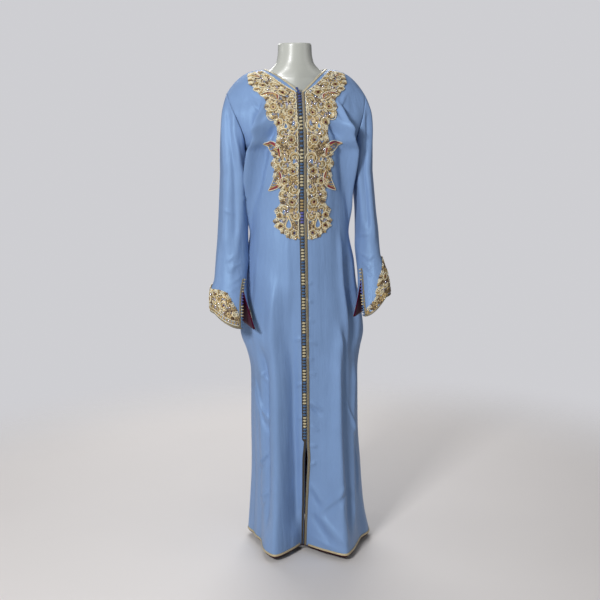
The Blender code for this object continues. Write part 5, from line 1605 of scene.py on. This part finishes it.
class KAFTAN_OT_cuff_work(bpy.types.Operator):
    """Embroider the cuffs round their outer side, the right one with a border of lozenges along the hem"""

    bl_idname = "kaftan.cuff_work"
    bl_label = "Cuff Embroidery"

    def execute(self, context):
        finishes = work_finishes("cuff", context.scene.kaftan_work)
        for side, name in SIDE_NAME.items():
            net, table = sleeve_net(side), CUFF_EDGES[side]
            girth = float(net.reach[-1, CUFF_RING])
            rounds = [edge.around * girth for edge in table]
            lengths = np.linspace(rounds[0], rounds[-1], 400)
            outline, foot = (np.interp(lengths, rounds, column(table, name)) for name in ("reach", "foot"))
            work = Work(CUFF_SEED, lengths, outline, foot)
            for lay, motifs in ((work.rosette, CUFF_ROSETTES), (work.shell, CUFF_SHELLS)):
                for motif in motifs:
                    if work.inside(motif.across, motif.along, motif.radius * 0.8):
                        lay(*motif)
            work.edge()
            work.fill()
            if side == RIGHT:
                self.border(work, lengths)

            def place(across, along, lift, net=net, girth=girth):
                return net.at(along / girth * np.interp(across, net.heights, net.reach[-1]), across, lift)

            work.sew("cuff_work_" + name, place, "embroidery_cuff_" + name, -side, finishes)
        return {"FINISHED"}

    def border(self, work, lengths):
        """Two lines of cord with lozenges between them, each round a bead."""
        for height in (CUFF_BORDER - CUFF_BORDER_HALF, CUFF_BORDER + CUFF_BORDER_HALF):
            work.cord("cream", np.full_like(lengths, height), lengths)
        for middle in np.arange(lengths[0] + CUFF_BORDER_STEP, lengths[-1], CUFF_BORDER_STEP):
            x = CUFF_BORDER + LOZENGE_HALF * np.array([0, 1, 0, -1, 0])
            v = middle + CUFF_BORDER_STEP * LOZENGE_LENGTH * np.array([-1, 0, 1, 0, -1])
            work.cord("gold", x, v, 0.0004)
            work.beads.append((CUFF_BORDER, middle, BEAD * 0.8))
            work.sequins.append((CUFF_BORDER, middle + CUFF_BORDER_STEP / 2, SEQUIN * 0.7))


# --- dress form -----------------------------------------------------------------------------------
FormRow = namedtuple("FormRow", "row half_width front back squareness")
FORM = rows_of(
    FormRow,
    (0.8, 0.132, 0.092, 0.08, 2), (0.812, 0.14, 0.1, 0.087, 2), (0.9, 0.141, 0.102, 0.088, 2),
    (1, 0.135, 0.098, 0.083, 2), (1.09, 0.128, 0.092, 0.077, 2), (1.18, 0.132, 0.096, 0.079, 2),
    (1.262, 0.138, 0.103, 0.082, 2), (1.32, 0.138, 0.1, 0.084, 1.9), (1.37, 0.148, 0.088, 0.08, 1.7),
    (1.41, 0.166, 0.07, 0.068, 1.5), (1.44, 0.18, 0.053, 0.056, 1.35),
    (1.462, 0.175, 0.051, 0.05, 1.2), (1.48, 0.142, 0.0495, 0.049, 1.18),
    (1.49, 0.116, 0.049, 0.049, 1.3), (1.5, 0.09, 0.0485, 0.05, 1.55),
    (1.512, 0.071, 0.0485, 0.051, 1.8), (1.53, 0.057, 0.049, 0.053, 2),
    (1.555, 0.052, 0.049, 0.052, 2), (1.581, 0.0505, 0.049, 0.051, 2),
    (1.585, 0.0480, 0.047, 0.049, 2.0),
)
FORM_STEPS = 6  # rings for each row of the table
FORM_SHARP = math.radians(50)  # edges sharper than this stay sharp


class KAFTAN_OT_dress_form(bpy.types.Operator):
    """Mould the lacquered torso that fills the kaftan, and finish its pole and foot"""

    bl_idname = "kaftan.dress_form"
    bl_label = "Dress Form"

    def execute(self, context):
        form = context.scene.kaftan_form
        steps = np.arange((len(FORM) - 1) * FORM_STEPS + 1) / FORM_STEPS
        rows = np.interp(steps, range(len(FORM)), column(FORM, "row"))
        angle = np.linspace(0, 2 * math.pi, form.sides + 1)[:, None]
        v = {name: smooth(FORM, name, rows) for name in FormRow._fields[1:]}
        across, ahead = bend(angle, v["squareness"])
        across, ahead = across * np.sign(np.sin(angle)), ahead * np.sign(np.cos(angle))
        depth = np.where(ahead > 0, v["front"], v["back"])
        points = np.stack([v["half_width"] * across, -ahead * depth, rows + 0 * angle], axis=-1)
        points[-1] = points[0]
        shape = bmesh.new()
        add_sheet(shape, points, 1)
        merge(shape)
        rims = [e for e in shape.edges if e.is_boundary]
        bmesh.ops.holes_fill(shape, edges=rims, sides=0)
        bmesh.ops.recalc_face_normals(shape, faces=shape.faces)
        lacquer = gloss_lacquer("white_lacquer", form.lacquer)
        torso = add_piece("dress_form", shape, lacquer, ["form_torso"])
        torso.data.set_sharp_from_angle(angle=FORM_SHARP)
        steel = brushed_steel("turned_steel", form.steel)
        for node in ("form_pole", "form_foot"):
            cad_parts[node].data.materials.clear()
            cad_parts[node].data.materials.append(steel)
        return {"FINISHED"}


# --- stage ----------------------------------------------------------------------------------------
CAMERA_TURN = -7.0  # degrees round the form
CAMERA_PLACE = (0.010, -3.2, 1.38)
CAMERA_DROP = 10.4  # degrees that the camera looks down
CAMERA_ROLL = -0.45  # degrees about its own axis
CAMERA_LENS = 61.4


# The lights that the stage's settings name: their places, what they aim at, and their sizes.
LIGHTS = {
    "key": ((-1.6, -2.65, 2.2), (0, 0, 0.9), 0.6),
    "side": ((-2.6, 0.3, 1.5), (0, 0, 1.0), 0.9),
    "fill": ((2.6, -1.2, 1.9), (0, 0, 0.9), 1.2),
    "top": ((0.0, -0.6, 3.0), (0, 0, 1.0), 1.6),
    "back": ((0.0, 2.4, 2.6), (0, 1.2, 0), 2.0),
}


def add_light(name, power, place, aim, size):
    light = bpy.data.lights.new(name, "AREA")
    light.shape, light.size, light.energy = "SQUARE", size, power
    lamp = new_object(name, light)
    lamp.location = place
    lamp.rotation_euler = (Vector(aim) - Vector(place)).to_track_quat("-Z", "Y").to_euler()


class KAFTAN_OT_stage(bpy.types.Operator):
    """Set up the studio floor, the soft lights and the camera"""

    bl_idname = "kaftan.stage"
    bl_label = "Stage"

    def execute(self, context):
        stage = context.scene.kaftan_stage
        shape = bmesh.new()
        bmesh.ops.create_circle(shape, cap_ends=True, segments=96, radius=FLOOR_RADIUS)
        mesh = bpy.data.meshes.new("studio_floor")
        shape.to_mesh(mesh)
        shape.free()
        mesh.materials.append(studio_floor(stage.floor))
        floor = new_object("studio_floor", mesh)
        world = bpy.data.worlds.new("studio")
        world.use_nodes = True
        tree = world.node_tree
        sky = tree.nodes["Background"]
        sky.inputs["Color"].default_value = tone(stage.wall, 1.0)
        # The wall is seen as bright as it is, and lights the form less than that.
        seen = add_node(tree, "ShaderNodeLightPath").outputs["Is Camera Ray"]
        bright = {"To_Min": stage.surround, "To_Max": stage.wall_strength}
        strength = add_node(tree, "ShaderNodeMapRange", Value=seen, **bright)
        tree.links.new(strength.outputs["Result"], sky.inputs["Strength"])
        context.scene.world = world
        for name, light in LIGHTS.items():
            add_light(name + "_light", getattr(stage, name), *light)
        camera = new_object("camera", bpy.data.cameras.new("camera"))
        camera.data.lens = CAMERA_LENS
        camera.data.sensor_fit = "HORIZONTAL"
        camera.matrix_world = (
            Matrix.Rotation(math.radians(CAMERA_TURN), 4, "Z")
            @ Matrix.Translation(CAMERA_PLACE)
            @ Matrix.Rotation(math.radians(90 - CAMERA_DROP), 4, "X")
            @ Matrix.Rotation(math.radians(CAMERA_ROLL), 4, "Z")
        )
        context.scene.camera = camera
        context.scene.view_settings.view_transform = "Standard"
        return {"FINISHED"}


OPERATORS = (
    KAFTAN_OT_fronts, KAFTAN_OT_back, KAFTAN_OT_sleeves, KAFTAN_OT_linings, KAFTAN_OT_front_braids,
    KAFTAN_OT_front_knots, KAFTAN_OT_hem_piping, KAFTAN_OT_cuff_trims, KAFTAN_OT_yoke_work,
    KAFTAN_OT_cuff_work, KAFTAN_OT_dress_form, KAFTAN_OT_stage,
)


class KAFTAN_PT_panel(bpy.types.Panel):
    """Lists the kaftan's pieces in the order in which they are made"""

    bl_idname = "KAFTAN_PT_panel"
    bl_label = "Kaftan"
    bl_space_type = "VIEW_3D"
    bl_region_type = "UI"
    bl_category = "Kaftan"

    def draw(self, context):
        for name, group in GROUPS.items():
            box = self.layout.box()
            for setting in group.__annotations__:
                box.prop(getattr(context.scene, name), setting)
        for operator in OPERATORS:
            self.layout.operator(operator.bl_idname)


def register():
    for made in (*GROUPS.values(), *OPERATORS, KAFTAN_PT_panel):
        bpy.utils.register_class(made)
    for name, group in GROUPS.items():
        setattr(bpy.types.Scene, name, PointerProperty(type=group))


def unregister():
    for name in GROUPS:
        delattr(bpy.types.Scene, name)
    for made in (KAFTAN_PT_panel, *reversed(OPERATORS), *reversed(GROUPS.values())):
        bpy.utils.unregister_class(made)


def main():
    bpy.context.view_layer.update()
    register()
    for operator in OPERATORS:
        group, name = operator.bl_idname.split(".")
        getattr(getattr(bpy.ops, group), name)()


if __name__ == "__main__":
    main()
